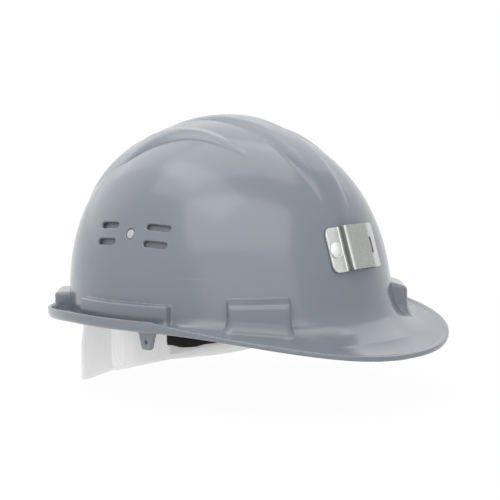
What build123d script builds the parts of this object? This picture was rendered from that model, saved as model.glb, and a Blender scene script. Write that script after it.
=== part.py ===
from build123d import *
import math
import os

os.makedirs("parts", exist_ok=True)

# Miner's safety helmet. The peak points along -Y and the wearer's right is -X.
# Lengths are in millimetres. "Fore" is the distance ahead of the dome's centre,
# and "height" is counted from the underside of the rain gutter.

# Shell: dome
dome_half_length = 112.0
dome_half_width = 99.0
dome_height = 118.0
dome_base = 8.0
dome_lean = 3.5
wall = 2.4
plan_power_share = 0.97
rise_power_share = 0.90
section_angles = [90, 80, 70, 60, 50, 40, 30, 20, 10]
rim_step = 15

# Shell: raised ribs, whose outlines are shares of the dome's half length and half width
rib_height = 3.5
crest_outline_shares = [(0.93, 0.00), (0.81, 0.13), (0.60, 0.17), (0.30, 0.16), (0.00, 0.20),
                        (-0.18, 0.24), (-0.32, 0.21), (-0.40, 0.12), (-0.44, 0.00)]
flank_outline_shares = [(0.46, 0.39), (0.30, 0.43), (0.10, 0.47), (-0.10, 0.54), (-0.24, 0.57),
                        (-0.36, 0.54), (-0.43, 0.47), (-0.36, 0.40), (-0.22, 0.37), (0.15, 0.37)]

# Shell: peak, rain gutter and front flare
peak_reach = 42.0
peak_droop = 16.0
peak_start_fore = 42.0
peak_fullness = 2.2
gutter_reach = 12.7
gutter_fullness = 2.12
brim_thickness = 2.6
lip_height = 7.6
lip_thickness = 2.4
lip_end_height = 3.4
lip_taper_start_fore = 38.0
lip_taper_end_fore = 112.0
flare_height = 32.0
flare_reach = 21.0
flare_side_inset = 2.0
flare_level_shares = [(1.00, -0.14), (0.69, -0.02), (0.44, 0.06), (0.25, 0.17), (0.09, 0.34),
                      (-0.06, 0.62), (-0.22, 1.00)]

# Shell: key bosses at the four corners
key_angle = 40.0
key_boss_width = 37.5
key_boss_reach = 9.0
key_boss_top_front = 17.2
key_boss_top_rear = 14.0
key_boss_slope_front = 3.2
key_boss_slope_rear = 0.2
key_boss_taper = 3.0
key_pocket_width = 30.0
key_pocket_inner = 1.5
key_pocket_outer = 6.0
key_pocket_top = 12.0
key_notch_top = 3.0

# Shell: long side bosses with the accessory slots, and chin strap lugs
side_boss_front_fore = 41.0
side_boss_rear_fore = -35.5
side_boss_reach = 5.5
side_boss_top = 16.0
slot_length = 31.0
slot_depth = 5.0
slot_wall = 1.3
slot_top = 13.0
lug_fore = 31.3
lug_gap_from_wall = 5.0
lug_top_width = 13.6
lug_bottom_width = 7.6
lug_drop = 10.4
lug_thickness = 3.0
lug_hole_radius = 1.2
lug_hole_drop = 5.6

# Vents: two slots each side of a pivot stud, with a turning shutter inside
vent_turn = 87.0
vent_angle = 67.5
vent_slot_length = 17.6
vent_slot_width = 3.9
vent_slot_half_pitch_fore = 20.8
vent_slot_half_pitch_up = 5.3
stud_bore_radius = 2.08
stud_radius = 2.0
stud_recess_radius = 3.5
stud_recess_depth = 1.1
stud_head_radius = 2.8
stud_head_height = 0.9
vent_cut_depth = 9.0
shutter_gap = 0.8
shutter_thickness = 1.8
shutter_length = 64.0
shutter_width = 20.0
shutter_ball_radius = 122.0
knob_radius = 8.0
knob_gap = 0.35
knob_height = 4.5
knob_grip_width = 3.0

# Lamp bracket: one bent steel strip on the front
bracket_angle = 73.0
bracket_tall = 28.0
bracket_sheet = 1.2
bracket_flange_end = 20.6
bracket_flange_start = 9.2
bracket_flange_turn = 1.4
bracket_step_run = 1.2
bracket_front_offset = 3.8
bracket_front_end = 16.6
bracket_curl_end = 19.0
bracket_leaf_end = 8.0
bracket_stand = 0.15
bracket_corner = 4.0
bracket_slot_length = 10.0
bracket_slot_width = 1.3
bracket_slot_at = 12.9
bracket_rivet_at = 15.65
bracket_leaf_rivet_at = 12.3
rivet_head_radius = 4.9
leaf_rivet_head_radius = 4.2
rivet_head_height = 2.3
rivet_shank_radius = 2.0
leaf_rivet_head_height = 1.2
washer_radius = 5.0
washer_thickness = 1.2
washer_gap = 1.2
rivet_grip = 8.0

# Cable clip at the back
clip_angle = 73.0
clip_width = 14.0
clip_tall = 28.0
clip_sheet = 1.5
clip_throat = 6.0
clip_hook_rise = 12.0
clip_rivet_offset_up = 7.0

# Suspension keys
key_width = 28.0
key_play = 0.4
key_tab_top = 11.0
key_bottom = 0.4
key_bridge_thickness = 2.2
key_leg_thickness = 2.4
key_leg_gap = 3.2
key_leg_top = 22.0
strap_peg_radius = 2.0
strap_peg_length = 3.2
strap_peg_height = 15.0
band_peg_radius = 2.5
band_peg_height = 6.0

# Crown straps and the button that joins them
strap_width = 19.0
strap_thickness = 1.2
strap_end_height = 9.0
strap_rise = 77.0
strap_step = 2.4
strap_end_gap = 1.3
button_shank_radius = 2.5
button_radius = 8.0
button_flange = 1.6
button_play = 0.3

# Headband, sweatband and nape strap, from the head inwards and outwards
band_side_gap = 13.0
band_front_gap = 22.0
band_curve_fore = 20.0
band_thickness = 1.6
band_wing_fore = -21.5
band_front_bottom = -3.8
band_front_top = 26.0
band_wing_bottom = -31.9
band_wing_top = 6.0
band_wing_corner = 5.0
pad_thickness = 3.5
flap_thickness = 1.4
pad_gap = 0.3
pad_end_fore = 29.5
pad_hem = 2.5
flap_front_bottom = -2.5
flap_wing_bottom = -18.0
pad_peg_clearance = 2.0
nape_gap = 0.3
nape_thickness = 1.8
nape_arm_fore = 0.0
nape_curve_fore = -20.0
nape_rear_gap = 5.0
nape_bottom = -49.0
nape_top = -10.0
nape_low_fore = -81.0
nape_low = -47.0
nape_arm_bottom = -24.0
nape_arm_top = 4.0
nape_travel = 20.0
size_stud_fore = -5.0
size_stud_height = -1.0
size_stud_radius = 2.0
size_slot_play = 0.08
size_stud_head_radius = 3.4
size_stud_head_height = 1.2
size_stud_gap = 0.2

# Cuts run past the faces that they open by this much
overrun = 40.0

# Places that follow from the sizes above
peak_tip_fore = dome_half_length + peak_reach
rear_fore = -dome_half_length - gutter_reach
dome_y = (peak_tip_fore + rear_fore) / 2
rim_z = -nape_bottom
rim_half_width = dome_half_width + gutter_reach
sides = {"right": -1, "left": 1}
crown_top = dome_base + dome_height
band_half_width = dome_half_width - band_side_gap
band_front_reach = dome_half_length - band_front_gap
nape_rear_reach = dome_half_length - nape_rear_gap


def fore(distance):
    """Y of a place that lies this far ahead of the dome's centre."""
    return dome_y - distance


def up(height):
    """Z of a place that lies this far above the gutter's underside."""
    return rim_z + height


def dome_section(angle, grow):
    """Height, half width, half length and lean of the dome's section at an angle from its top."""
    rise = math.cos(math.radians(angle)) ** rise_power_share if angle < 90 else 0.0
    spread = math.sin(math.radians(angle)) ** plan_power_share
    height = dome_base + (dome_height + grow) * rise
    return height, (dome_half_width + grow) * spread, (dome_half_length + grow) * spread, dome_lean * rise


def dome_solid(grow):
    """Closed dome whose surface stands the given amount outside the shell's outer face."""
    sections = []
    for angle in section_angles:
        height, half_width, half_length, lean = dome_section(angle, grow)
        with BuildSketch(Plane((0, fore(-lean), up(height)))) as section:
            Ellipse(half_width, half_length)
        sections.append(section.sketch)
    sections.append(Vertex(0, fore(-dome_lean), up(crown_top + grow)))
    with BuildPart() as dome:
        loft(sections=sections)
    return dome.part


def dome_point(turn, angle):
    """Point on the dome's outer face, turned from straight ahead and at an angle from its top."""
    height, half_width, half_length, lean = dome_section(angle, 0)
    across = half_width * math.sin(math.radians(turn))
    along = half_length * math.cos(math.radians(turn)) - lean
    return Vector(across, fore(along), up(height))


def dome_plane(turn, angle):
    """Plane touching the dome's outer face: Z points outwards, X is level and Y points up the dome."""
    here = dome_point(turn, angle)
    around = dome_point(turn + 1, angle) - dome_point(turn - 1, angle)
    down = dome_point(turn, angle + 1) - dome_point(turn, angle - 1)
    outward = around.cross(down).normalized()
    if outward.dot(here - Vector(0, fore(0), up(0))) < 0:
        outward = -outward
    return Plane(here, x_dir=Vector(0, 0, 1).cross(outward), z_dir=outward)


def wall_plane(turn):
    """Level plane on the wall's outer face at the gutter's underside: X runs along the wall, Y outwards."""
    across = math.sin(math.radians(turn))
    along = math.cos(math.radians(turn))
    outward = Vector(across / dome_half_width, -along / dome_half_length, 0).normalized()
    origin = (dome_half_width * across, fore(dome_half_length * along), up(0))
    return Plane(origin, x_dir=(outward.Y, -outward.X, 0), z_dir=(0, 0, 1))


def section_plane(plane):
    """Upright plane across a wall plane: X points outwards and Y points up."""
    return Plane(plane.origin, x_dir=plane.y_dir, z_dir=plane.x_dir)


def side_plane(offset):
    """Upright fore and aft plane: X runs backwards and Y runs up."""
    return Plane((offset, 0, 0), x_dir=(0, 1, 0), z_dir=(1, 0, 0))


def rim_points(inset):
    """Points round the rim's outline, seen from above, inset from its edge."""
    points = []
    for degrees in range(0, 360, rim_step):
        turn = math.radians(degrees)
        ahead = math.cos(turn) > 0
        power = 2 / (peak_fullness if ahead else gutter_fullness)
        reach = peak_tip_fore - inset if ahead else -rear_fore - inset
        across = math.copysign(abs(math.sin(turn)) ** power, math.sin(turn))
        along = math.copysign(abs(math.cos(turn)) ** power, math.cos(turn))
        points.append(((rim_half_width - inset) * across, fore(reach * along)))
    return points


def brim_curve(start, end, lift):
    """Control points of the drooping line that runs a lift above the brim's underside."""
    fall = peak_droop / (peak_tip_fore - peak_start_fore) ** 2
    drops = [fall * (a - peak_start_fore) * (b - peak_start_fore) for a, b in
             [(start, start), (start, end), (end, end)]]
    places = [start, (start + end) / 2, end]
    return [(fore(place), up(lift - drop)) for place, drop in zip(places, drops)]


def flare_sections(inset, lower):
    """Sections of the flare between wall and peak, inset from its outer face and lowered."""
    sections = []
    for level_share, reach_share in flare_level_shares:
        half_width = dome_half_width - flare_side_inset - inset
        rear = dome_half_length - flare_side_inset - inset
        front = dome_half_length + flare_reach * reach_share - inset
        with BuildSketch(Plane((0, fore(0), up(flare_height * level_share - lower)))) as section:
            with BuildLine():
                EllipticalCenterArc((0, 0), half_width, rear, start_angle=0, arc_size=180)
                EllipticalCenterArc((0, 0), half_width, front, start_angle=180, arc_size=180)
            make_face()
        sections.append(section.sketch)
    return sections


def bracket_surface(across):
    """Distance from the bracket's plane back to the dome at this distance to the side."""
    half_width, half_length = dome_section(bracket_angle, 0)[1:3]
    return half_length * (math.sqrt(1 - (across / half_width) ** 2) - 1)


def band_depth(turn):
    """How far inside the wall's outer face the headband's outer face lies, square to the wall."""
    wall_place = wall_plane(turn)
    start = wall_place.origin - Vector(0, fore(band_curve_fore), up(0))
    half_length = band_front_reach - band_curve_fore
    scaled_start = Vector(start.X / band_half_width, start.Y / half_length, 0)
    scaled_step = Vector(wall_place.y_dir.X / band_half_width, wall_place.y_dir.Y / half_length, 0)
    square = scaled_step.dot(scaled_step)
    half_linear = scaled_start.dot(scaled_step)
    inside_root = half_linear ** 2 - square * (scaled_start.dot(scaled_start) - 1)
    return (half_linear - math.sqrt(inside_root)) / square


# Planes that several pieces share
key_turns = {"front": key_angle, "rear": 180 - key_angle}
bracket_plane = dome_plane(0, bracket_angle)
clip_plane = dome_plane(180, clip_angle)
strip_plane = Plane(bracket_plane.origin, x_dir=-bracket_plane.x_dir, z_dir=bracket_plane.y_dir)
flange_start_back = bracket_surface(bracket_flange_start) + bracket_stand
flange_end_back = flange_start_back - bracket_flange_turn
flange_run = Vector(bracket_flange_end - bracket_flange_start, -bracket_flange_turn, 0)
flange_share = (bracket_rivet_at - bracket_flange_start) / flange_run.X
flange_seat = flange_start_back - bracket_flange_turn * flange_share
flange_line = -flange_run.X * bracket_plane.x_dir + flange_run.Y * bracket_plane.z_dir
flange_plane = Plane(strip_plane.from_local_coords((bracket_rivet_at, flange_seat, 0)),
                     x_dir=flange_line, z_dir=flange_line.cross(-bracket_plane.y_dir))

# Far ends of the brim profiles
profile_front = peak_tip_fore + brim_thickness
profile_rear = rear_fore - brim_thickness

# Region above the brim's underside
with BuildPart() as above_underside:
    with BuildSketch(side_plane(0)):
        with BuildLine():
            underside = brim_curve(peak_start_fore, profile_front, 0)
            Bezier(*underside)
            Polyline(underside[-1], (fore(profile_front), up(crown_top + overrun)),
                     (fore(profile_rear), up(crown_top + overrun)), (fore(profile_rear), up(0)), underside[0])
        make_face()
    extrude(amount=rim_half_width + overrun, both=True)

# Brim plate: the gutter's floor and the peak
with BuildPart() as brim_plate:
    with BuildSketch(side_plane(0)):
        with BuildLine():
            top_line = brim_curve(peak_start_fore, profile_front, brim_thickness)
            Bezier(*underside)
            Line(underside[-1], top_line[-1])
            Bezier(*top_line)
            Polyline(top_line[0], (fore(profile_rear), up(brim_thickness)), (fore(profile_rear), up(0)),
                     underside[0])
        make_face()
    extrude(amount=rim_half_width + overrun, both=True)
    with BuildSketch(Plane((0, 0, up(-overrun)))):
        with BuildLine():
            Spline(*rim_points(0), periodic=True)
        make_face()
    extrude(amount=2 * overrun, mode=Mode.INTERSECT)

# Lip round the brim's edge: high beside the gutter, a low bead round the peak
with BuildPart() as lip:
    with BuildSketch(side_plane(0)):
        with BuildLine():
            bead_line = brim_curve(lip_taper_end_fore, profile_front, lip_end_height)
            Bezier(*underside)
            Line(underside[-1], bead_line[-1])
            Bezier(*bead_line)
            Polyline(bead_line[0], (fore(lip_taper_start_fore), up(lip_height)),
                     (fore(profile_rear), up(lip_height)), (fore(profile_rear), up(0)), underside[0])
        make_face()
    extrude(amount=rim_half_width + overrun, both=True)
    with BuildSketch(Plane((0, 0, up(-overrun)))):
        with BuildLine():
            Spline(*rim_points(0), periodic=True)
        make_face()
        with BuildLine():
            Spline(*rim_points(lip_thickness), periodic=True)
        make_face(mode=Mode.SUBTRACT)
    extrude(amount=2 * overrun, mode=Mode.INTERSECT)

# Space inside the shell
with BuildPart() as inside:
    add(dome_solid(-wall))
    with BuildSketch(Plane((0, fore(0), up(-overrun)))):
        Ellipse(dome_half_width - wall, dome_half_length - wall)
    extrude(amount=overrun + dome_base)
    inner_flare = flare_sections(wall, wall)
    loft(sections=inner_flare)
    add(inner_flare[-1])
    extrude(to_extrude=inner_flare[-1], amount=overrun, dir=(0, 0, -1))

# One boss for a suspension key, at the front and at the rear
key_bosses = {}
for end, (top, slope) in {"front": (key_boss_top_front, key_boss_slope_front),
                          "rear": (key_boss_top_rear, key_boss_slope_rear)}.items():
    with BuildPart() as boss:
        with BuildSketch(section_plane(wall_plane(key_turns[end]))):
            with BuildLine():
                Polyline((-key_boss_reach, -peak_droop), (key_boss_reach, -peak_droop), (key_boss_reach, top),
                         (0, top + slope), (-key_boss_reach, top + slope), close=True)
            make_face()
        extrude(amount=key_boss_width / 2, both=True)
        outer_edges = boss.edges().filter_by(Axis.Z).sort_by_distance(wall_plane(key_turns[end]).origin)[-2:]
        fillet(outer_edges, radius=key_boss_taper)
    key_bosses[end] = boss.part

# Long boss on the side with room for the accessory slot
side_boss_middle = (side_boss_front_fore + side_boss_rear_fore) / 2
side_boss_length = side_boss_front_fore - side_boss_rear_fore
with BuildPart() as side_boss:
    with BuildSketch(Plane((0, fore(0), up(0)))):
        Ellipse(dome_half_width + side_boss_reach, dome_half_length + side_boss_reach)
        with Locations((dome_half_width, -side_boss_middle)):
            Rectangle(dome_half_width, side_boss_length, mode=Mode.INTERSECT)
    extrude(amount=side_boss_top)

with BuildPart() as accessory_slot:
    slot_outer = side_boss_reach - slot_wall
    with BuildSketch(Plane((0, fore(0), up(-overrun)))):
        Ellipse(dome_half_width + slot_outer, dome_half_length + slot_outer)
        Ellipse(dome_half_width + slot_outer - slot_depth, dome_half_length + slot_outer - slot_depth,
                mode=Mode.SUBTRACT)
        with Locations((dome_half_width, -side_boss_middle)):
            Rectangle(dome_half_width, slot_length, mode=Mode.INTERSECT)
    extrude(amount=overrun + slot_top)

# Ribs on the dome, cut from a larger dome by their outlines
with BuildPart() as ribs:
    with BuildSketch(Plane((0, fore(0), up(dome_base)))):
        with BuildLine():
            right_half = [(dome_half_width * across, -dome_half_length * along)
                          for along, across in crest_outline_shares]
            left_half = [(-across, along) for across, along in right_half[-2:0:-1]]
            Spline(*right_half, *left_half, periodic=True)
        make_face()
        for side in sides.values():
            with BuildLine():
                Spline(*[(side * dome_half_width * across, -dome_half_length * along)
                         for along, across in flank_outline_shares], periodic=True)
            make_face()
    extrude(amount=dome_height + overrun)
    add(dome_solid(rib_height), mode=Mode.INTERSECT)

# Shell
with BuildPart() as shell:
    add(dome_solid(0))
    with BuildSketch(Plane((0, fore(0), up(-peak_droop)))):
        Ellipse(dome_half_width, dome_half_length)
    extrude(amount=peak_droop + dome_base)
    loft(sections=flare_sections(0, 0))
    add(ribs.part)
    for boss in key_bosses.values():
        add(boss)
        add(mirror(boss, about=Plane.YZ, mode=Mode.PRIVATE))
    add(side_boss.part)
    add(mirror(side_boss.part, about=Plane.YZ, mode=Mode.PRIVATE))
    add(above_underside.part, mode=Mode.INTERSECT)
    add(brim_plate.part)
    add(lip.part)
    for side in sides.values():
        with BuildSketch(side_plane(side * (dome_half_width + lug_gap_from_wall))):
            with BuildLine():
                Polyline((fore(lug_fore) - lug_top_width / 2, up(brim_thickness / 2)),
                         (fore(lug_fore) - lug_bottom_width / 2, up(-lug_drop)),
                         (fore(lug_fore) + lug_bottom_width / 2, up(-lug_drop)),
                         (fore(lug_fore) + lug_top_width / 2, up(brim_thickness / 2)), close=True)
            make_face()
        extrude(amount=lug_thickness / 2, both=True)
    add(inside.part, mode=Mode.SUBTRACT)
    for side in sides.values():
        with BuildSketch(side_plane(side * (dome_half_width + lug_gap_from_wall))):
            with Locations((fore(lug_fore), up(-lug_hole_drop))):
                Circle(lug_hole_radius)
        extrude(amount=lug_thickness, both=True, mode=Mode.SUBTRACT)
        for turn in key_turns.values():
            corner = wall_plane(side * turn)
            with BuildSketch(corner.offset(-overrun)):
                with Locations((0, (key_pocket_inner + key_pocket_outer) / 2)):
                    Rectangle(key_pocket_width, key_pocket_outer - key_pocket_inner)
            extrude(amount=overrun + key_pocket_top, mode=Mode.SUBTRACT)
            with BuildSketch(corner.offset(-overrun)):
                Rectangle(key_pocket_width, 2 * key_pocket_outer)
            extrude(amount=overrun + key_notch_top, mode=Mode.SUBTRACT)
        vent = dome_plane(side * vent_turn, vent_angle)
        with BuildSketch(vent):
            with GridLocations(2 * vent_slot_half_pitch_fore, 2 * vent_slot_half_pitch_up, 2, 2):
                SlotOverall(vent_slot_length, vent_slot_width)
            Circle(stud_bore_radius)
        extrude(amount=vent_cut_depth, both=True, mode=Mode.SUBTRACT)
        with BuildSketch(vent.offset(-stud_recess_depth)):
            Circle(stud_recess_radius)
        extrude(amount=vent_cut_depth, mode=Mode.SUBTRACT)
    add(accessory_slot.part, mode=Mode.SUBTRACT)
    add(mirror(accessory_slot.part, about=Plane.YZ, mode=Mode.PRIVATE), mode=Mode.SUBTRACT)
    with BuildSketch(bracket_plane):
        with Locations((bracket_leaf_rivet_at, 0)):
            Circle(rivet_shank_radius)
    extrude(amount=rivet_grip, both=True, mode=Mode.SUBTRACT)
    with BuildSketch(flange_plane):
        Circle(rivet_shank_radius)
    extrude(amount=rivet_grip, both=True, mode=Mode.SUBTRACT)
    with BuildSketch(clip_plane):
        with Locations((0, clip_rivet_offset_up)):
            Circle(rivet_shank_radius)
    extrude(amount=rivet_grip, both=True, mode=Mode.SUBTRACT)
shell.part.label = "shell"
export_step(shell.part, "parts/shell.step")

# Lamp bracket: flange on the wearer's right, step up, front plate, curl on the left and a leaf behind it
step_end = bracket_flange_start - bracket_step_run
front_back = bracket_front_offset
front_face = front_back + bracket_sheet
leaf_face = bracket_stand + bracket_sheet
flange_foot = flange_start_back + bracket_sheet - bracket_flange_turn * bracket_sheet / flange_run.X
with BuildPart() as lamp_bracket:
    with BuildSketch(strip_plane):
        with BuildLine():
            Polyline((bracket_flange_end, flange_end_back), (bracket_flange_start, flange_start_back),
                     (step_end, front_back), (-bracket_front_end, front_back))
            SagittaArc((-bracket_front_end, front_back), (-bracket_front_end, leaf_face),
                       bracket_front_end + bracket_sheet - bracket_curl_end)
            Polyline((-bracket_front_end, leaf_face), (-bracket_leaf_end, leaf_face),
                     (-bracket_leaf_end, bracket_stand), (-bracket_front_end, bracket_stand))
            SagittaArc((-bracket_front_end, bracket_stand), (-bracket_front_end, front_face),
                       bracket_curl_end - bracket_front_end)
            Polyline((-bracket_front_end, front_face), (step_end + bracket_sheet, front_face),
                     (bracket_flange_start + bracket_sheet, flange_foot),
                     (bracket_flange_end, flange_end_back + bracket_sheet),
                     (bracket_flange_end, flange_end_back))
        make_face()
    extrude(amount=bracket_tall / 2, both=True)
    with BuildSketch(bracket_plane.offset(-bracket_tall)):
        with Locations((-(bracket_flange_end - bracket_curl_end) / 2, 0)):
            RectangleRounded(bracket_flange_end + bracket_curl_end, bracket_tall, bracket_corner)
    extrude(amount=2 * bracket_tall, mode=Mode.INTERSECT)
    with BuildSketch(bracket_plane.offset((front_back + leaf_face) / 2)):
        with Locations((bracket_slot_at, 0)):
            SlotOverall(bracket_slot_length, bracket_slot_width, rotation=90)
    extrude(amount=bracket_tall, mode=Mode.SUBTRACT)
    with BuildSketch(bracket_plane):
        with Locations((bracket_leaf_rivet_at, 0)):
            Circle(rivet_shank_radius)
    extrude(amount=leaf_face, mode=Mode.SUBTRACT)
    with BuildSketch(flange_plane):
        Circle(rivet_shank_radius)
    extrude(amount=rivet_grip, both=True, mode=Mode.SUBTRACT)
lamp_bracket.part.label = "lamp_bracket"
export_step(lamp_bracket.part, "parts/lamp_bracket.step")


def rivet_solid(seat, grip, head_radius, head_height):
    """Rivet with a domed head on the seat plane and a shank that reaches down through the grip."""
    ball_radius = (head_radius ** 2 + head_height ** 2) / (2 * head_height)
    with BuildPart() as rivet:
        with Locations(seat.offset(head_height - ball_radius)):
            Sphere(ball_radius)
        with BuildSketch(seat):
            Circle(head_radius)
        extrude(amount=head_height, mode=Mode.INTERSECT)
        with BuildSketch(seat):
            Circle(rivet_shank_radius)
        extrude(amount=-grip)
    return rivet.part


def washer_solid(seat, grip):
    """Round washer under a rivet's tail, at the grip's depth below the seat plane."""
    with BuildPart() as washer:
        with BuildSketch(seat.offset(-grip)):
            Circle(washer_radius)
            Circle(rivet_shank_radius, mode=Mode.SUBTRACT)
        extrude(amount=washer_thickness)
    return washer.part


# Rivets of the lamp bracket and their washers inside the shell
outer_grip = bracket_sheet + wall + washer_gap + washer_thickness
flange_face = flange_plane.offset(bracket_sheet)
leaf_seat = Plane(bracket_plane.from_local_coords((bracket_leaf_rivet_at, 0, leaf_face)),
                  x_dir=bracket_plane.x_dir, z_dir=bracket_plane.z_dir)
leaf_grip = outer_grip - bracket_surface(bracket_leaf_rivet_at)
flange_rivet = rivet_solid(flange_face, outer_grip, rivet_head_radius, rivet_head_height)
flange_rivet.label = "bracket_flange_rivet"
export_step(flange_rivet, "parts/bracket_flange_rivet.step")
leaf_rivet = rivet_solid(leaf_seat, leaf_grip, leaf_rivet_head_radius, leaf_rivet_head_height)
leaf_rivet.label = "bracket_leaf_rivet"
export_step(leaf_rivet, "parts/bracket_leaf_rivet.step")
with BuildPart() as bracket_washers:
    add(washer_solid(flange_face, outer_grip))
    add(washer_solid(leaf_seat, leaf_grip))
bracket_washers.part.label = "bracket_washers"
export_step(bracket_washers.part, "parts/bracket_washers.step")

# Cable clip: a strip against the back of the dome that turns up into an open hook
clip_section = Plane(clip_plane.origin, x_dir=clip_plane.z_dir, z_dir=-clip_plane.x_dir)
clip_back = bracket_stand
clip_face = clip_back + clip_sheet
hook_inner = clip_face + clip_throat
hook_outer = hook_inner + clip_sheet
with BuildPart() as cable_clip:
    with BuildSketch(clip_section):
        with BuildLine():
            Line((clip_back, clip_tall / 2), (clip_back, -clip_tall / 2))
            ThreePointArc((clip_back, -clip_tall / 2),
                          ((clip_back + hook_outer) / 2, -clip_tall / 2 - (hook_outer - clip_back) / 2),
                          (hook_outer, -clip_tall / 2))
            Polyline((hook_outer, -clip_tall / 2), (hook_outer, -clip_tall / 2 + clip_hook_rise),
                     (hook_inner, -clip_tall / 2 + clip_hook_rise), (hook_inner, -clip_tall / 2))
            ThreePointArc((hook_inner, -clip_tall / 2),
                          ((clip_face + hook_inner) / 2, -clip_tall / 2 - clip_throat / 2),
                          (clip_face, -clip_tall / 2))
            Polyline((clip_face, -clip_tall / 2), (clip_face, clip_tall / 2), (clip_back, clip_tall / 2))
        make_face()
    extrude(amount=clip_width / 2, both=True)
    with BuildSketch(clip_plane):
        with Locations((0, clip_rivet_offset_up)):
            Circle(rivet_shank_radius)
    extrude(amount=clip_face, mode=Mode.SUBTRACT)
cable_clip.part.label = "cable_clip"
export_step(cable_clip.part, "parts/cable_clip.step")
clip_seat = Plane(clip_plane.from_local_coords((0, clip_rivet_offset_up, clip_face)),
                  x_dir=clip_plane.x_dir, z_dir=clip_plane.z_dir)
clip_rivet = rivet_solid(clip_seat, outer_grip, rivet_head_radius, rivet_head_height)
clip_rivet.label = "cable_clip_rivet"
export_step(clip_rivet, "parts/cable_clip_rivet.step")
clip_washer = washer_solid(clip_seat, outer_grip)
clip_washer.label = "cable_clip_washer"
export_step(clip_washer, "parts/cable_clip_washer.step")

# Vent shutters, which turn about their studs, and the studs with their finger knobs
for name, side in sides.items():
    vent = dome_plane(side * vent_turn, vent_angle)
    shutter_face = -wall - shutter_gap
    with BuildPart() as vent_shutter:
        with Locations(vent.offset(shutter_face - shutter_ball_radius)):
            Sphere(shutter_ball_radius)
            Sphere(shutter_ball_radius - shutter_thickness, mode=Mode.SUBTRACT)
        with BuildSketch(vent.offset(-vent_cut_depth)):
            SlotOverall(shutter_length, shutter_width)
            Circle(stud_radius, mode=Mode.SUBTRACT)
        extrude(amount=vent_cut_depth, mode=Mode.INTERSECT)
    vent_shutter.part.label = f"vent_shutter_{name}"
    export_step(vent_shutter.part, f"parts/vent_shutter_{name}.step")
    with BuildPart() as vent_stud:
        with BuildSketch(vent.offset(-stud_recess_depth)):
            Circle(stud_head_radius)
        extrude(amount=stud_head_height)
        knob_top = shutter_face - shutter_thickness - knob_gap
        with BuildSketch(vent.offset(knob_top)):
            Circle(stud_radius)
        extrude(amount=-knob_top - stud_recess_depth)
        with BuildSketch(vent.offset(knob_top)):
            Circle(knob_radius)
        extrude(amount=-knob_height / 2)
        with BuildSketch(vent.offset(knob_top)):
            Rectangle(2 * knob_radius, knob_grip_width)
            Circle(knob_radius, mode=Mode.INTERSECT)
        extrude(amount=-knob_height)
    vent_stud.part.label = f"vent_stud_{name}"
    export_step(vent_stud.part, f"parts/vent_stud_{name}.step")


# Suspension keys: a tab up in each boss, a bridge under the wall and a leg inside with its pegs
inner_face = -wall - key_leg_gap
leg_face = inner_face - key_leg_thickness
band_peg_length = band_depth(key_angle) + leg_face + band_thickness
peg_planes = {}
for name, side in sides.items():
    for end, turn in key_turns.items():
        corner = wall_plane(side * turn)
        tab_outer = key_pocket_outer - key_play
        tab_inner = key_pocket_inner + key_play
        with BuildPart() as key:
            with BuildSketch(section_plane(corner)):
                with BuildLine():
                    bridge_top = key_bottom + key_bridge_thickness
                    Polyline((tab_outer, key_bottom), (tab_outer, key_tab_top), (tab_inner, key_tab_top),
                             (tab_inner, bridge_top), (inner_face, bridge_top), (inner_face, key_leg_top),
                             (leg_face, key_leg_top), (leg_face, key_bottom), close=True)
                make_face()
            extrude(amount=key_width / 2, both=True)
            peg_plane = Plane(corner.from_local_coords((0, leg_face, 0)), x_dir=corner.x_dir,
                              z_dir=-corner.y_dir)
            peg_planes[end, name] = peg_plane
            with BuildSketch(peg_plane):
                with Locations((0, strap_peg_height)):
                    Circle(strap_peg_radius)
            extrude(amount=strap_peg_length)
            if end == "front":
                with BuildSketch(peg_plane):
                    with Locations((0, band_peg_height)):
                        Circle(band_peg_radius)
                extrude(amount=band_peg_length)
        key.part.label = f"suspension_key_{end}_{name}"
        export_step(key.part, f"parts/suspension_key_{end}_{name}.step")


# Crown straps: each runs over the head from a front key to the rear key on the other side
corner_place = Vector(dome_half_width * math.sin(math.radians(key_angle)),
                      dome_half_length * math.cos(math.radians(key_angle)), 0)
strap_half_span = corner_place.length + leg_face - strap_end_gap
for name, side in sides.items():
    rise = strap_rise if side < 0 else strap_rise - strap_step
    run = Vector(side * corner_place.X, -corner_place.Y, 0).normalized()
    upright = Plane((0, fore(0), up(strap_end_height)), x_dir=run, z_dir=run.cross(Vector(0, 0, 1)))
    with BuildPart() as crown_strap:
        with BuildSketch(upright):
            Ellipse(strap_half_span, rise)
            Ellipse(strap_half_span - strap_thickness, rise - strap_thickness, mode=Mode.SUBTRACT)
            Rectangle(2 * strap_half_span, rise, align=(Align.CENTER, Align.MIN), mode=Mode.INTERSECT)
        extrude(amount=strap_width / 2, both=True)
        far_name = "left" if side < 0 else "right"
        for peg_plane in [peg_planes["front", name], peg_planes["rear", far_name]]:
            with BuildSketch(peg_plane):
                with Locations((0, strap_peg_height)):
                    Circle(strap_peg_radius)
            extrude(amount=2 * strap_peg_length, mode=Mode.SUBTRACT)
        with BuildSketch(Plane((0, fore(0), up(strap_end_height)))):
            Circle(button_shank_radius)
        extrude(amount=strap_rise + overrun, mode=Mode.SUBTRACT)
    crown_strap.part.label = f"crown_strap_{name}"
    export_step(crown_strap.part, f"parts/crown_strap_{name}.step")

# Button that clamps the two straps where they cross
upper_seat = up(strap_end_height + strap_rise)
lower_seat = up(strap_end_height + strap_rise - strap_step - strap_thickness) - button_play
with BuildPart() as crown_button:
    with BuildSketch(Plane((0, fore(0), lower_seat - button_flange))):
        Circle(button_radius)
    extrude(amount=button_flange)
    with BuildSketch(Plane((0, fore(0), lower_seat))):
        Circle(button_shank_radius)
    extrude(amount=upper_seat - lower_seat)
    with BuildSketch(Plane((0, fore(0), upper_seat))):
        Circle(button_radius)
    extrude(amount=button_flange)
crown_button.part.label = "crown_button"
export_step(crown_button.part, "parts/crown_button.step")


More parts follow.
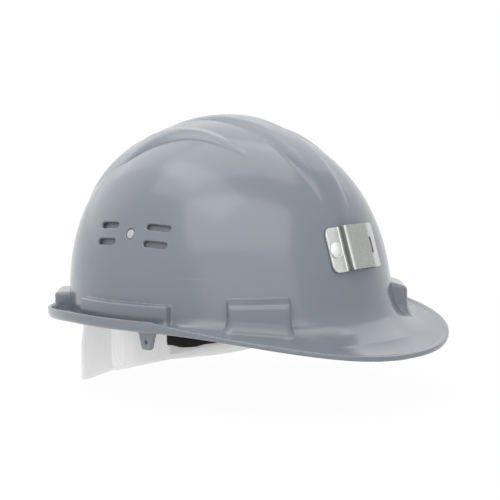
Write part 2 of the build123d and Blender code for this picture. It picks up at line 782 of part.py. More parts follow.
def band_outline(grow, end_fore):
    """Face inside the headband's curve, grown outwards, open backwards as far as the given place."""
    with BuildSketch(Plane((0, fore(band_curve_fore), up(-overrun)))) as outline:
        Ellipse(band_half_width + grow, band_front_reach - band_curve_fore + grow)
        Rectangle(2 * (band_half_width + grow), band_front_reach, align=(Align.CENTER, Align.MAX),
                  mode=Mode.INTERSECT)
        if end_fore < band_curve_fore:
            Rectangle(2 * (band_half_width + grow), band_curve_fore - end_fore,
                      align=(Align.CENTER, Align.MIN))
        else:
            with Locations((0, band_curve_fore - end_fore)):
                Rectangle(2 * (band_half_width + grow), band_front_reach, align=(Align.CENTER, Align.MAX),
                          mode=Mode.INTERSECT)
    return outline.sketch


def band_solid(outer, inner, end_fore, edges):
    """Ring between two growths of the headband's curve, cut to edge heights at its wings and its front."""
    wing_bottom, front_bottom, front_top, wing_top = edges
    with BuildPart() as ring:
        add(band_outline(outer, end_fore))
        extrude(amount=2 * overrun)
        add(band_outline(inner, end_fore - overrun))
        extrude(amount=2 * overrun, mode=Mode.SUBTRACT)
        with BuildSketch(side_plane(0)):
            with BuildLine():
                Polyline((fore(band_wing_fore), up(wing_bottom)), (fore(band_front_reach), up(front_bottom)),
                         (fore(band_front_reach + overrun), up(front_bottom)),
                         (fore(band_front_reach + overrun), up(front_top)),
                         (fore(band_front_reach), up(front_top)), (fore(band_wing_fore), up(wing_top)),
                         close=True)
            make_face()
        extrude(amount=rim_half_width, both=True, mode=Mode.INTERSECT)
    return ring.part


# Headband: a U of translucent plastic with a slot in each wing for the size studs
with BuildPart() as headband:
    add(band_solid(0, -band_thickness, band_wing_fore,
                   (band_wing_bottom, band_front_bottom, band_front_top, band_wing_top)))
    wing_corners = headband.edges().filter_by(Axis.X).sort_by(Axis.Y)[-4:]
    fillet(wing_corners, radius=band_wing_corner)
    slot_middle = size_stud_fore + nape_travel / 2
    with BuildSketch(side_plane(0)):
        with Locations((fore(slot_middle), up(size_stud_height))):
            SlotCenterToCenter(nape_travel, 2 * (size_stud_radius + size_slot_play))
    extrude(amount=rim_half_width, both=True, mode=Mode.SUBTRACT)
    for name in sides:
        with BuildSketch(peg_planes["front", name]):
            with Locations((0, band_peg_height)):
                Circle(band_peg_radius)
        extrude(amount=2 * band_peg_length, mode=Mode.SUBTRACT)
headband.part.label = "headband"
export_step(headband.part, "parts/headband.step")

# Sweatband: a soft pad inside the headband, folded over its top edge and down the outside
pad_outer = -band_thickness - pad_gap
pad_inner = pad_outer - pad_thickness
flap_outer = pad_gap + flap_thickness
fold_front = band_front_top + pad_gap
fold_wing = band_wing_top + pad_gap
with BuildPart() as sweatband:
    add(band_solid(pad_outer, pad_inner, pad_end_fore,
                   (band_wing_bottom + pad_hem, band_front_bottom + pad_hem,
                    fold_front + flap_thickness, fold_wing + flap_thickness)))
    add(band_solid(flap_outer, pad_gap, pad_end_fore,
                   (flap_wing_bottom, flap_front_bottom, fold_front + flap_thickness,
                    fold_wing + flap_thickness)))
    add(band_solid(flap_outer, pad_inner, pad_end_fore,
                   (fold_wing, fold_front, fold_front + flap_thickness, fold_wing + flap_thickness)))
    for name in sides:
        with BuildSketch(peg_planes["front", name]):
            with Locations((0, band_peg_height)):
                Circle(band_peg_radius + pad_peg_clearance)
        extrude(amount=band_peg_length, mode=Mode.SUBTRACT)
sweatband.part.label = "sweatband"
export_step(sweatband.part, "parts/sweatband.step")

# Nape strap: two arms inside the headband's wings and a deep cradle round the back
nape_half_width = band_half_width - band_thickness - nape_gap
with BuildPart() as nape_strap:
    for grow, mode in [(0, Mode.ADD), (-nape_thickness, Mode.SUBTRACT)]:
        with BuildSketch(Plane((0, fore(nape_curve_fore), up(-2 * overrun)))):
            Ellipse(nape_half_width + grow, nape_rear_reach + nape_curve_fore + grow)
            Rectangle(2 * nape_half_width, nape_rear_reach, align=(Align.CENTER, Align.MIN),
                      mode=Mode.INTERSECT)
            Rectangle(2 * (nape_half_width + grow), nape_arm_fore - nape_curve_fore - grow,
                      align=(Align.CENTER, Align.MAX))
        extrude(amount=3 * overrun, mode=mode)
    with BuildSketch(side_plane(0)):
        with BuildLine():
            Polyline((fore(nape_arm_fore), up(nape_arm_bottom)), (fore(nape_low_fore), up(nape_low)),
                     (fore(-nape_rear_reach), up(nape_bottom)), (fore(-nape_rear_reach), up(nape_top)),
                     (fore(nape_low_fore), up(nape_top)), (fore(nape_curve_fore), up(nape_arm_top)),
                     (fore(nape_arm_fore), up(nape_arm_top)), close=True)
        make_face()
    extrude(amount=rim_half_width, both=True, mode=Mode.INTERSECT)
    with BuildSketch(side_plane(0)):
        with Locations((fore(size_stud_fore), up(size_stud_height))):
            Circle(size_stud_radius)
    extrude(amount=rim_half_width, both=True, mode=Mode.SUBTRACT)
nape_strap.part.label = "nape_strap"
export_step(nape_strap.part, "parts/nape_strap.step")

# Size studs: pressed through the nape strap's arms, they slide in the headband's slots
for name, side in sides.items():
    stud_inner = nape_half_width - nape_thickness - size_stud_head_height
    stud_outer = band_half_width + size_stud_gap
    with BuildPart() as size_stud:
        for start, length, radius in [(stud_inner, size_stud_head_height, size_stud_head_radius),
                                      (stud_inner, stud_outer - stud_inner, size_stud_radius),
                                      (stud_outer, size_stud_head_height, size_stud_head_radius)]:
            with BuildSketch(side_plane(side * start)):
                with Locations((fore(size_stud_fore), up(size_stud_height))):
                    Circle(radius)
            extrude(amount=side * length)
    size_stud.part.label = f"size_stud_{name}"
    export_step(size_stud.part, f"parts/size_stud_{name}.step")
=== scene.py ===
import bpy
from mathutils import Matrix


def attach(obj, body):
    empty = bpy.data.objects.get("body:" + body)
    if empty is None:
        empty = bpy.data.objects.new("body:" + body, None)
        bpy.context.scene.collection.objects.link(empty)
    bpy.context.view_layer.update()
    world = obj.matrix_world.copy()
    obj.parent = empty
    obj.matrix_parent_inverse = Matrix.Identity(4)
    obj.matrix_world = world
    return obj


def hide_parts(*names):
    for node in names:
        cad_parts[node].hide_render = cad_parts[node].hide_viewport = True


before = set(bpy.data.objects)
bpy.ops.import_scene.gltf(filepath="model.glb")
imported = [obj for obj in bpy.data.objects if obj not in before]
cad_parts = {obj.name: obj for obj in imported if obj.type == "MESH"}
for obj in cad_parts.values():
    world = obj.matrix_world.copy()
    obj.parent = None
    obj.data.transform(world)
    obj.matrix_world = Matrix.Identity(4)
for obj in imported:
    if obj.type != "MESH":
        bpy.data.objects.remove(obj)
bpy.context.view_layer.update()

import math

import bpy
import bmesh
import numpy as np
from mathutils import Matrix, Vector

# The helmet's own sizes are in millimetres. Meshes are written in metres.
# "Fore" is the distance ahead of the dome's centre towards the peak, which is -Y.
# "Height" is counted from the underside of the rain gutter. The wearer's right is -X.
MM = 0.001
DOME_Y = 14.65
RIM_Z = 49.0
SIDES = {"right": -1, "left": 1}

# Shell
DOME_HALF_LENGTH = 112.0
DOME_HALF_WIDTH = 99.0
DOME_HEIGHT = 118.0
DOME_BASE = 8.0
DOME_LEAN = 3.5
WALL = 2.4
PLAN_POWER = 0.97
RISE_POWER = 0.90
RIB_HEIGHT = 3.5
CREST_EDGE = 9.0
FLANK_EDGE = 10.0
FOOT_SHARE = 0.15
VALLEY_SHARE = 0.45
VALLEY_FADE_START = 0.1
VALLEY_FADE = 0.5
CREST_FRONT_END = 0.93
CREST_FRONT_FADE = 2.5
FLANK_FRONT_END = 0.5
CREST_FADE_END = 0.50
FLANK_FADE_END = 0.60
RIB_FADE = 0.55
RIB_TRACE = 0.45
RIB_TRACE_END = 0.96
PEAK_TIP = 154.0
PEAK_DROOP = 17.0
PEAK_START = 42.0
PEAK_FULLNESS = 2.2
GUTTER_FULLNESS = 2.12
GUTTER_REACH = 12.7
REAR_FALL = 5.0
REAR_FALL_START = 30
REAR_FALL_LENGTH = 90
BRIM_THICKNESS = 2.6
LIP_HEIGHT = 7.6
LIP_THICKNESS = 2.4
LIP_END_HEIGHT = 3.4
LIP_TAPER_START = 38.0
LIP_TAPER_END = 112.0
FLARE_HEIGHT = 32.0
FLARE_REACH = 21.0
FLARE_INSET = 2.0
FLARE_TUCK = 5.0
FLARE_LEVEL_SHARES = [(-0.22, 1.00), (-0.06, 0.62), (0.09, 0.34), (0.25, 0.17), (0.44, 0.06), (0.69, -0.02),
                      (1.00, -0.14)]
CREST_SHARES = [(-0.88, 0.00), (-0.80, 0.13), (-0.60, 0.24), (-0.35, 0.27), (0.00, 0.20), (0.30, 0.16),
                (0.60, 0.17), (0.81, 0.13), (0.93, 0.00)]
FLANK_OUTER_SHARES = [(-0.98, 0.30), (-0.80, 0.48), (-0.65, 0.56), (-0.50, 0.60), (-0.30, 0.62), (-0.10, 0.54),
                      (0.10, 0.47), (0.30, 0.43), (0.46, 0.39)]
FLANK_INNER_SHARES = [(-0.98, 0.18), (-0.80, 0.30), (-0.55, 0.38), (-0.25, 0.37), (0.15, 0.37), (0.46, 0.39)]

# Bosses, slots and lugs of the shell
KEY_ANGLE = 40.0
KEY_BOSS_HALF_WIDTH = 18.75
KEY_BOSS_REACH = 9.0
KEY_BOSS_TOPS = {"front": 17.2, "rear": 14.0}
KEY_BOSS_SLOPES = {"front": 3.2, "rear": 0.2}
KEY_BOSS_ROUND = 3.0
KEY_POCKET_HALF_WIDTH = 15.0
KEY_POCKET_INNER = 1.5
KEY_POCKET_OUTER = 6.0
KEY_POCKET_TOP = 12.0
KEY_NOTCH_TOP = 3.0
SIDE_BOSS_FORE = 2.75
SIDE_BOSS_HALF_LENGTH = 38.25
SIDE_BOSS_REACH = 5.5
SIDE_BOSS_TOP = 16.0
SLOT_HALF_LENGTH = 15.5
SLOT_OUTER = 4.2
SLOT_DEPTH = 5.0
SLOT_TOP = 13.0
LUG_FORE = 31.3
LUG_OUT = 5.0
LUG_TOP_HALF_WIDTH = 6.8
LUG_BOTTOM_HALF_WIDTH = 3.8
LUG_DROP = 10.4
LUG_HALF_THICKNESS = 1.5
LUG_HOLE_RADIUS = 1.2
LUG_HOLE_DROP = 5.6

# Vents
VENT_TURN = 87.0
VENT_ANGLE = 67.5
VENT_SLOT_HALF_LENGTH = 8.8
VENT_SLOT_RADIUS = 1.95
VENT_PITCH_FORE = 20.8
VENT_PITCH_UP = 5.3
STUD_BORE = 2.08
STUD_RECESS_RADIUS = 3.5
STUD_RECESS_DEPTH = 1.1
VENT_REACH = 34.0

# Radii of the moulding's edges
EDGE_SHARP = 0.7
EDGE_SOFT = 1.6
EDGE_BOSS = 2.4
EDGE_GUTTER = 5.0
BLEND_FLARE = 7.0
BLEND_BRIM = 2.0
BLEND_PEAK = 9.0

# Lamp bracket
BRACKET_ANGLE = 73.0
BRACKET_TALL = 28.0
BRACKET_SHEET = 1.2
BRACKET_FLANGE_END = 20.6
BRACKET_FLANGE_START = 9.2
BRACKET_FLANGE_TURN = 1.4
BRACKET_STEP_END = 8.0
BRACKET_FRONT = 3.8
BRACKET_CURL_END = 19.0
BRACKET_LEAF_END = 8.0
BRACKET_STAND = 0.15
BRACKET_CORNER = 4.0
BRACKET_BEND = 1.3
BRACKET_SLOT_AT = 12.9
BRACKET_SLOT_HALF_LENGTH = 5.0
BRACKET_SLOT_HALF_WIDTH = 0.8
BRACKET_BEVEL = 0.22
BRACKET_ROLL_STEPS = 14
# Painted light and shade on the bracket, as grey levels along the strip: the bright bands at the bends and the far
# bend are painted highlights, the dark band over the step wall and the dark inside of the roll are painted shade, and
# the flange's lighter level is partly its own paler finish and partly painted light.
BRACKET_INNER_PAINTED_SHADE = 0.15
BRACKET_PAINTED_LIGHT = [(-14.0, 0.69), (-12.4, 0.65), (-11.6, 0.41), (6.6, 0.41), (7.4, 0.36), (7.7, 0.82), (8.5, 0.82),
                 (8.8, 0.13), (10.0, 0.13), (10.3, 0.82), (10.8, 0.68), (19.6, 0.68), (20.2, 0.84)]
FLANGE_RIVET_AT = 15.65
LEAF_RIVET_AT = 12.3
RIVET_RADIUS = 4.9
LEAF_RIVET_RADIUS = 4.2
RIVET_HEIGHT = 2.3
LEAF_RIVET_HEIGHT = 1.2
SHANK_RADIUS = 2.0
RIVET_GRIP = 6.0
RIVET_TAIL = 1.0

# Cable clip
CLIP_ANGLE = 73.0
CLIP_WIDTH = 14.0
CLIP_HALF_TALL = 14.0
CLIP_SHEET = 1.5
CLIP_THROAT = 6.0
CLIP_HOOK_RISE = 12.0
CLIP_RIVET_UP = 7.0
CLIP_CORNER = 2.5
CLIP_BEVEL = 0.35
CLIP_TURN_STEPS = 16

# Vent studs
STUD_HEAD_RADIUS = 2.8
STUD_HEAD_HEIGHT = 0.9
STUD_RADIUS = 2.0
KNOB_DEPTH = 5.35
KNOB_RADIUS = 8.0
KNOB_HEIGHT = 4.5
KNOB_GRIP = 3.0

# Crown straps
STRAP_WIDTH = 19.0
STRAP_THICKNESS = 1.2
STRAP_END_HEIGHT = 9.0
STRAP_RISE = 77.0
STRAP_STEP = 2.4
STRAP_HALF_SPAN = 97.5
STRAP_STEPS = 96

# Headband, sweatband and nape strap
BAND_HALF_WIDTH = 86.0
BAND_FRONT = 90.0
BAND_CURVE = 20.0
BAND_THICKNESS = 1.6
BAND_WING = -21.5
BAND_BOTTOM = (-31.9, -3.8)
BAND_TOP = (6.0, 26.0)
BAND_CORNER = 5.0
BAND_SLOT = (-5.0, 15.0)
BAND_SLOT_HEIGHT = -1.0
BAND_SLOT_HALF = 2.08
BAND_EDGE = 0.5
BAND_SLOT_FADE_START = 15
BAND_SLOT_FADE = 40
BAND_ROWS_UNDER_SLOT = (0, 0.15, 0.4, 0.7)
BAND_ROWS_OVER_SLOT = (0.3, 0.6, 0.85, 1)
BEAD_OFFSETS = (3.1, 9.0)
BEAD_RADIUS = 2.8
BEAD_SQUASH = 0.28
BEAD_END_LOW = 2.5
BEAD_END_HIGH = 2
PAD_GAP = 0.3
PAD_THICKNESS = 3.5
PAD_HEM = 2.5
PAD_END = 29.5
PAD_INSET = 0.4
PAD_CROWN = 0.9
PAD_HOLLOW = 0.6
PAD_TAPER_ROWS = 3
PAD_TAPER_SHARE = 0.55
PAD_FOLD_STEPS = 8
FLAP_SAG = 1.5
FLAP_SAG_AT = 16
FLAP_SAG_WIDTH = 9
FLAP_LIFT = 1.0
FLAP_LIFT_WIDTH = 7
FLAP_WAVE = 0.3
FLAP_WAVE_SLOW = 0.37
FLAP_WAVE_FAST = 0.9
FLAP_THICKNESS = 1.4
FLAP_BOTTOM = (-18.0, -2.5)
NAPE_HALF_WIDTH = 84.1
NAPE_THICKNESS = 1.8
NAPE_ARM = 0.0
NAPE_CURVE = -20.0
NAPE_REAR = 107.0
NAPE_LOWER = [(-107.0, -49.0), (-81.0, -47.0), (0.0, -24.0)]
NAPE_UPPER = [(-107.0, -10.0), (-81.0, -10.0), (-20.0, 4.0), (0.0, 4.0)]
NAPE_LEAN = 0.04
NAPE_LEAN_BEHIND = 35
NAPE_LEAN_FADE = 25
NAPE_LEAN_FOOT = -26
NAPE_LEAN_RISE = 16

# Stage and camera. Each light has an azimuth, elevation, width and height in degrees, and a share of white.
STAGE_RADIUS = 1.6
TARGET_HEIGHT = 60
FLOOR_HALF = 6.0
FLOOR_DROP = 0.0005
FLOOR_COLOUR = 0.9
FLOOR_WHITE = 1.02
FLOOR_FADE = {"From Min": 0.2, "From Max": 0.5, "To Min": 0.95, "To Max": 1.0}
WORLD_LIGHT = 0.3
SOFTBOXES = {"overhead": (146, 81, 64, 38, 1.22), "behind": (131, 46, 78, 40, 0.47),
             "behind_left": (184, 32, 42, 48, 0.31), "left_top": (256, 62, 54, 26, 1.18),
             "front_top": (310, 44, 70, 38, 1.52), "front_low": (316, 9, 66, 26, 0.72)}
CAMERA_AZIMUTH = -46
CAMERA_ELEVATION = 4.6
CAMERA_ROLL = 0.95
CAMERA_DISTANCE = 1.060
CAMERA_LENS = 115.6
CAMERA_SHIFT = (0.0444, -0.061)

# Mesh spacing
SHELL_STEP = 1.0
SHELL_BLOCK = 4
BLOCK_MARGIN = 1.8
SETTLE_TURNS = 4
SETTLE_REACH = 0.6
SLOPE_STEP = 0.05
NORMAL_STEP = 0.15
STRIP_STEP = 1.5
BAND_STEP = 2.0
TINY = 1e-8
WELD = 0.01
NODE_WELD = 0.002
SHARP_ANGLE = 35

# Milky plastic. Its glow is painted light, which makes it look more strongly lit.
MILKY_PAINTED_GLOW = 0.26
MILKY_THROUGH = 0.35
MILKY_CLEAR = 0.45


def place(across, fore, height):
    """Point in the row frame, in metres, from millimetres across, ahead of the dome's centre and above the rim."""
    return Vector((across * MM, (DOME_Y - fore) * MM, (RIM_Z + height) * MM))


def smooth_min(a, b, width):
    """Union of two distances with a fillet."""
    mix = np.clip(0.5 + 0.5 * (b - a) / width, 0, 1)
    return b + (a - b) * mix - width * mix * (1 - mix)


def smooth_max(a, b, width):
    """Intersection of two distances with a rounded edge."""
    return -smooth_min(-a, -b, width)


def smooth_curve(shares, values, x_scale, y_scale):
    """Monotone cubic through points given as shares, evaluated at values."""
    xs = np.array([p[0] for p in shares]) * x_scale
    ys = np.array([p[1] for p in shares]) * y_scale
    steps = np.diff(xs)
    slopes = np.diff(ys) / steps
    tangents = np.empty(len(xs))
    tangents[1:-1] = np.where(slopes[1:] * slopes[:-1] > 0,
                              2 * slopes[1:] * slopes[:-1] / (slopes[1:] + slopes[:-1] + 1e-12), 0)
    tangents[0] = slopes[0]
    tangents[-1] = slopes[-1]
    values = np.clip(values, xs[0], xs[-1])
    spot = np.clip(np.searchsorted(xs, values) - 1, 0, len(steps) - 1)
    step = steps[spot]
    t = (values - xs[spot]) / step
    return (ys[spot] * (1 + 2 * t) * (1 - t) ** 2 + tangents[spot] * step * t * (1 - t) ** 2
            + ys[spot + 1] * t ** 2 * (3 - 2 * t) + tangents[spot + 1] * step * t ** 2 * (t - 1))


def ease(share):
    """Smooth step from 0 to 1."""
    share = np.clip(share, 0, 1)
    return share * share * (3 - 2 * share)


def ellipse_distance(x, l, half_width, half_length):
    """Distance to an ellipse seen from above."""
    value = (x / half_width) ** 2 + (l / half_length) ** 2 - 1
    steep = (2 * x / half_width ** 2) ** 2 + (2 * l / half_length ** 2) ** 2
    return value / np.sqrt(steep + TINY)


def dome_distance(x, l, h, grow):
    """Distance to the dome, whose sections are grown by a length. Below its base the wall is upright."""
    rise = np.clip((h - DOME_BASE) / (DOME_HEIGHT + grow), 0, None)
    half_length = DOME_HALF_LENGTH + grow
    half_width = DOME_HALF_WIDTH + grow
    back = l + DOME_LEAN * np.clip(rise, 0, 1)
    plan = (x / half_width) ** 2 + (back / half_length) ** 2 + 1e-9
    plan_power = 1 / PLAN_POWER
    rise_power = 2 / RISE_POWER
    value = plan ** plan_power + rise ** rise_power - 1
    slope = 2 * plan_power * plan ** (plan_power - 1)
    steep = (slope * x / half_width ** 2) ** 2 + (slope * back / half_length ** 2) ** 2
    steep += (rise_power * rise ** (rise_power - 1) / (DOME_HEIGHT + grow)) ** 2
    return value / np.sqrt(steep + TINY)


def swell(share):
    """Rounded step from 0 to 1: steep at its foot and level at its top."""
    share = np.clip(share, 0, 1)
    return (1 - (1 - share) ** 2) * ease(share / FOOT_SHARE)


def rib_rise(x, l):
    """Height of the raised ribs above the dome, from the place seen from above."""
    across = np.abs(x)
    crest_half = smooth_curve(CREST_SHARES, l, DOME_HALF_LENGTH, DOME_HALF_WIDTH)
    crest = swell((crest_half - across) / CREST_EDGE)
    outer = smooth_curve(FLANK_OUTER_SHARES, l, DOME_HALF_LENGTH, DOME_HALF_WIDTH)
    inner = smooth_curve(FLANK_INNER_SHARES, l, DOME_HALF_LENGTH, DOME_HALF_WIDTH)
    valley = VALLEY_SHARE * (1 - ease((l + VALLEY_FADE_START * DOME_HALF_LENGTH) / (VALLEY_FADE * DOME_HALF_LENGTH)))
    slope = ease((across - inner) / FLANK_EDGE + 0.5)
    flank = swell((outer - across) / FLANK_EDGE) * (valley + (1 - valley) * slope)
    crest = crest * ease((CREST_FRONT_END * DOME_HALF_LENGTH - l) / (CREST_FRONT_FADE * CREST_EDGE))
    flank = flank * ease((FLANK_FRONT_END * DOME_HALF_LENGTH - l) / CREST_EDGE)
    crest = crest * ease((l + CREST_FADE_END * DOME_HALF_LENGTH) / (RIB_FADE * DOME_HALF_LENGTH))
    fade = ease((l + FLANK_FADE_END * DOME_HALF_LENGTH) / (RIB_FADE * DOME_HALF_LENGTH))
    flank = flank * np.maximum(fade, RIB_TRACE * ease((l + RIB_TRACE_END * DOME_HALF_LENGTH) / FLANK_EDGE))
    return RIB_HEIGHT * np.maximum(crest, flank)


def flare_distance(x, l, h, inset):
    """Distance to the flare between the dome's front and the peak."""
    heights = np.clip(h, FLARE_LEVEL_SHARES[0][0] * FLARE_HEIGHT, FLARE_HEIGHT)
    reach = smooth_curve(FLARE_LEVEL_SHARES, heights, FLARE_HEIGHT, FLARE_REACH)
    nudge = 0.25
    slope = (smooth_curve(FLARE_LEVEL_SHARES, heights + nudge, FLARE_HEIGHT, FLARE_REACH) - reach) / nudge
    tuck = FLARE_TUCK * (1 - ease(l / PEAK_START))
    half_length = np.where(l > 0, DOME_HALF_LENGTH + reach, DOME_HALF_LENGTH - FLARE_INSET) - inset - tuck
    half_width = DOME_HALF_WIDTH - FLARE_INSET - inset - tuck
    value = (x / half_width) ** 2 + (l / half_length) ** 2 - 1
    steep = (2 * x / half_width ** 2) ** 2 + (2 * l / half_length ** 2) ** 2
    steep += np.where(l > 0, (2 * l ** 2 / half_length ** 3 * slope) ** 2, 0)
    side = value / np.sqrt(steep + TINY)
    return np.maximum(side, h - FLARE_HEIGHT)


def rim_distance(x, l):
    """Distance to the outline of the gutter and peak, seen from above."""
    power = np.where(l > 0, PEAK_FULLNESS, GUTTER_FULLNESS)
    half_length = np.where(l > 0, PEAK_TIP, DOME_HALF_LENGTH + GUTTER_REACH)
    half_width = DOME_HALF_WIDTH + GUTTER_REACH
    a = np.abs(x) / half_width
    b = np.abs(l) / half_length
    value = a ** power + b ** power - 1
    steep = (power * a ** (power - 1) / half_width) ** 2 + (power * b ** (power - 1) / half_length) ** 2
    return value / np.sqrt(steep + TINY)


def droop(l):
    """How far the rim's underside has fallen at this distance ahead."""
    return PEAK_DROOP * (np.clip(l - PEAK_START, 0, None) / (PEAK_TIP - PEAK_START)) ** 2 + rear_fall(l)


def rear_fall(l):
    """Slight fall of the gutter towards the back."""
    return REAR_FALL * ease((-l - REAR_FALL_START) / REAR_FALL_LENGTH)


def brim_distance(x, l, h):
    """Distance to the gutter's floor, the peak and the lip round them."""
    under = -droop(l) - h
    edge = rim_distance(x, l)
    taper = np.clip((l - LIP_TAPER_START) / (LIP_TAPER_END - LIP_TAPER_START), 0, 1)
    round_width = EDGE_BOSS + (EDGE_GUTTER - EDGE_BOSS) * (1 - ease(taper))
    floor = h + droop(l) - BRIM_THICKNESS
    fall = droop(np.full_like(l, LIP_TAPER_END)) * taper + rear_fall(l)
    lip_top = LIP_HEIGHT + (LIP_END_HEIGHT - LIP_HEIGHT) * taper - np.where(l < LIP_TAPER_END, fall, droop(l))
    lip = smooth_max(-edge - LIP_THICKNESS, h - lip_top, EDGE_SOFT)
    outer = smooth_max(edge, under, round_width)
    return smooth_max(smooth_min(floor, lip, round_width), outer, EDGE_SHARP)


def wall_frame(turn):
    """Origin and outward direction, in plan, of the wall's place at an angle from straight ahead."""
    across = math.sin(math.radians(turn))
    along = math.cos(math.radians(turn))
    outward = np.array([across / DOME_HALF_WIDTH, along / DOME_HALF_LENGTH])
    return (DOME_HALF_WIDTH * across, DOME_HALF_LENGTH * along), outward / np.linalg.norm(outward)


def wall_local(x, l, turn):
    """Coordinates along the wall and outwards from it, at one of the corners."""
    origin, outward = wall_frame(turn)
    dx = x - origin[0]
    dl = l - origin[1]
    return dx * outward[1] - dl * outward[0], dx * outward[0] + dl * outward[1]


def rounded_rectangle(u, v, half_u, half_v, radius):
    """Plan distance to a rectangle with round corners."""
    qu = np.abs(u) - half_u + radius
    qv = np.abs(v) - half_v + radius
    outside = np.hypot(np.clip(qu, 0, None), np.clip(qv, 0, None))
    return outside + np.minimum(np.maximum(qu, qv), 0) - radius


def bosses_distance(x, l, h):
    """Distance to the key bosses and the long side bosses."""
    ax = np.abs(x)
    best = None
    for end, turn in {"front": KEY_ANGLE, "rear": 180 - KEY_ANGLE}.items():
        u, v = wall_local(ax, l, turn)
        plan = rounded_rectangle(u, v, KEY_BOSS_HALF_WIDTH, KEY_BOSS_REACH, KEY_BOSS_ROUND)
        top = KEY_BOSS_TOPS[end] + KEY_BOSS_SLOPES[end] * (1 - np.clip(v, 0, KEY_BOSS_REACH) / KEY_BOSS_REACH)
        boss = smooth_max(plan, h - top, EDGE_BOSS)
        best = boss if best is None else np.minimum(best, boss)
    side = ellipse_distance(ax, l, DOME_HALF_WIDTH + SIDE_BOSS_REACH, DOME_HALF_LENGTH + SIDE_BOSS_REACH)
    ends = np.abs(l - SIDE_BOSS_FORE) - SIDE_BOSS_HALF_LENGTH
    long_boss = smooth_max(smooth_max(side, ends, EDGE_SOFT), h - SIDE_BOSS_TOP, EDGE_SOFT)
    return np.minimum(best, long_boss)


def lug_distance(x, l, h):
    """Distance to the chin strap lugs under the rim, with their holes."""
    share = np.clip(-h / LUG_DROP, 0, 1)
    half = LUG_TOP_HALF_WIDTH + (LUG_BOTTOM_HALF_WIDTH - LUG_TOP_HALF_WIDTH) * share
    sides = smooth_max(np.abs(l - LUG_FORE) - half, -h - LUG_DROP, EDGE_SOFT)
    thick = np.abs(np.abs(x) - DOME_HALF_WIDTH - LUG_OUT) - LUG_HALF_THICKNESS
    lug = smooth_max(smooth_max(sides, thick, EDGE_SHARP), h - BRIM_THICKNESS / 2, EDGE_SHARP)
    hole = np.hypot(l - LUG_FORE, h + LUG_HOLE_DROP) - LUG_HOLE_RADIUS
    return smooth_max(lug, -hole, EDGE_SHARP)


def dome_section(angle):
    """Height, half width, half length and lean of the dome at an angle from its top."""
    rise = math.cos(math.radians(angle)) ** RISE_POWER
    spread = math.sin(math.radians(angle)) ** PLAN_POWER
    return DOME_BASE + DOME_HEIGHT * rise, DOME_HALF_WIDTH * spread, DOME_HALF_LENGTH * spread, DOME_LEAN * rise


def dome_point(turn, angle):
    """Point on the dome as across, fore and height."""
    height, half_width, half_length, lean = dome_section(angle)
    return Vector((half_width * math.sin(math.radians(turn)),
                   half_length * math.cos(math.radians(turn)) - lean, height))


def dome_axes(turn, angle):
    """Origin and the level, upward and outward directions of the plane that touches the dome there."""
    origin = dome_point(turn, angle)
    around = dome_point(turn + 1, angle) - dome_point(turn - 1, angle)
    down = dome_point(turn, angle + 1) - dome_point(turn, angle - 1)
    outward = around.cross(down).normalized()
    if outward.dot(origin) < 0:
        outward = -outward
    level = Vector((0, 0, 1)).cross(outward).normalized()
    return origin, level, outward.cross(level), outward


def vent_cut(x, l, h):
    """Distance to the vent slots and the stud's bore and recess, mirrored on both sides."""
    origin, level, upward, outward = dome_axes(VENT_TURN, VENT_ANGLE)
    d = [np.abs(x) - origin.x, l - origin.y, h - origin.z]
    u, v, w = (d[0] * a.x + d[1] * a.y + d[2] * a.z for a in (level, upward, outward))
    along = np.clip(np.abs(np.abs(u) - VENT_PITCH_FORE) - (VENT_SLOT_HALF_LENGTH - VENT_SLOT_RADIUS), 0, None)
    slots = np.hypot(along, np.abs(v) - VENT_PITCH_UP) - VENT_SLOT_RADIUS
    middle = np.hypot(u, v)
    recess = np.maximum(middle - STUD_RECESS_RADIUS, -w - STUD_RECESS_DEPTH)
    cut = np.minimum(np.minimum(slots, recess), middle - STUD_BORE)
    near = np.maximum(np.abs(w) - WALL - RIB_HEIGHT, middle - VENT_REACH)
    return np.maximum(cut, near)


def pocket_cut(x, l, h):
    """Distance to the key pockets and the accessory slots, open downwards."""
    ax = np.abs(x)
    best = None
    for turn in (KEY_ANGLE, 180 - KEY_ANGLE):
        u, v = wall_local(ax, l, turn)
        wide = np.abs(u) - KEY_POCKET_HALF_WIDTH
        middle = (KEY_POCKET_INNER + KEY_POCKET_OUTER) / 2
        pocket = np.maximum(np.maximum(wide, np.abs(v - middle) - (KEY_POCKET_OUTER - middle)), h - KEY_POCKET_TOP)
        notch = np.maximum(np.maximum(wide, np.abs(v) - KEY_POCKET_OUTER), h - KEY_NOTCH_TOP)
        cut = np.minimum(pocket, notch)
        best = cut if best is None else np.minimum(best, cut)
    side = ellipse_distance(ax, l, DOME_HALF_WIDTH + SLOT_OUTER, DOME_HALF_LENGTH + SLOT_OUTER)
    slot = np.maximum(np.maximum(side, -side - SLOT_DEPTH), np.abs(l - SIDE_BOSS_FORE) - SLOT_HALF_LENGTH)
    return np.minimum(best, np.maximum(slot, h - SLOT_TOP))


def shell_distance(x, l, h):
    """Distance to the whole shell: below zero inside the plastic."""
    body = dome_distance(x, l, h, 0) - rib_rise(x, l)
    blend = EDGE_SHARP + (BLEND_FLARE - EDGE_SHARP) * (1 - ease(h / FLARE_HEIGHT))
    body = smooth_min(body, flare_distance(x, l, h, 0), blend)
    body = smooth_min(body, bosses_distance(x, l, h), EDGE_SHARP)
    under = -droop(l) - h
    body = np.maximum(body, under)
    brim = brim_distance(x, l, h)
    ahead = ease((l - PEAK_START / 2) / PEAK_START)
    body = smooth_min(body, brim, BLEND_BRIM + (BLEND_PEAK - BLEND_BRIM) * ahead)
    body = smooth_max(body, under, EDGE_SHARP)
    body = smooth_min(body, lug_distance(x, l, h), EDGE_SHARP)
    inner = dome_distance(x, l, h, -WALL)
    inner_flare = flare_distance(x, l, h + WALL, WALL)
    inner = smooth_min(inner, inner_flare, blend)
    body = smooth_max(body, -inner, EDGE_SHARP)
    body = smooth_max(body, -vent_cut(x, l, h), EDGE_SHARP)
    return smooth_max(body, -pocket_cut(x, l, h), EDGE_SHARP)


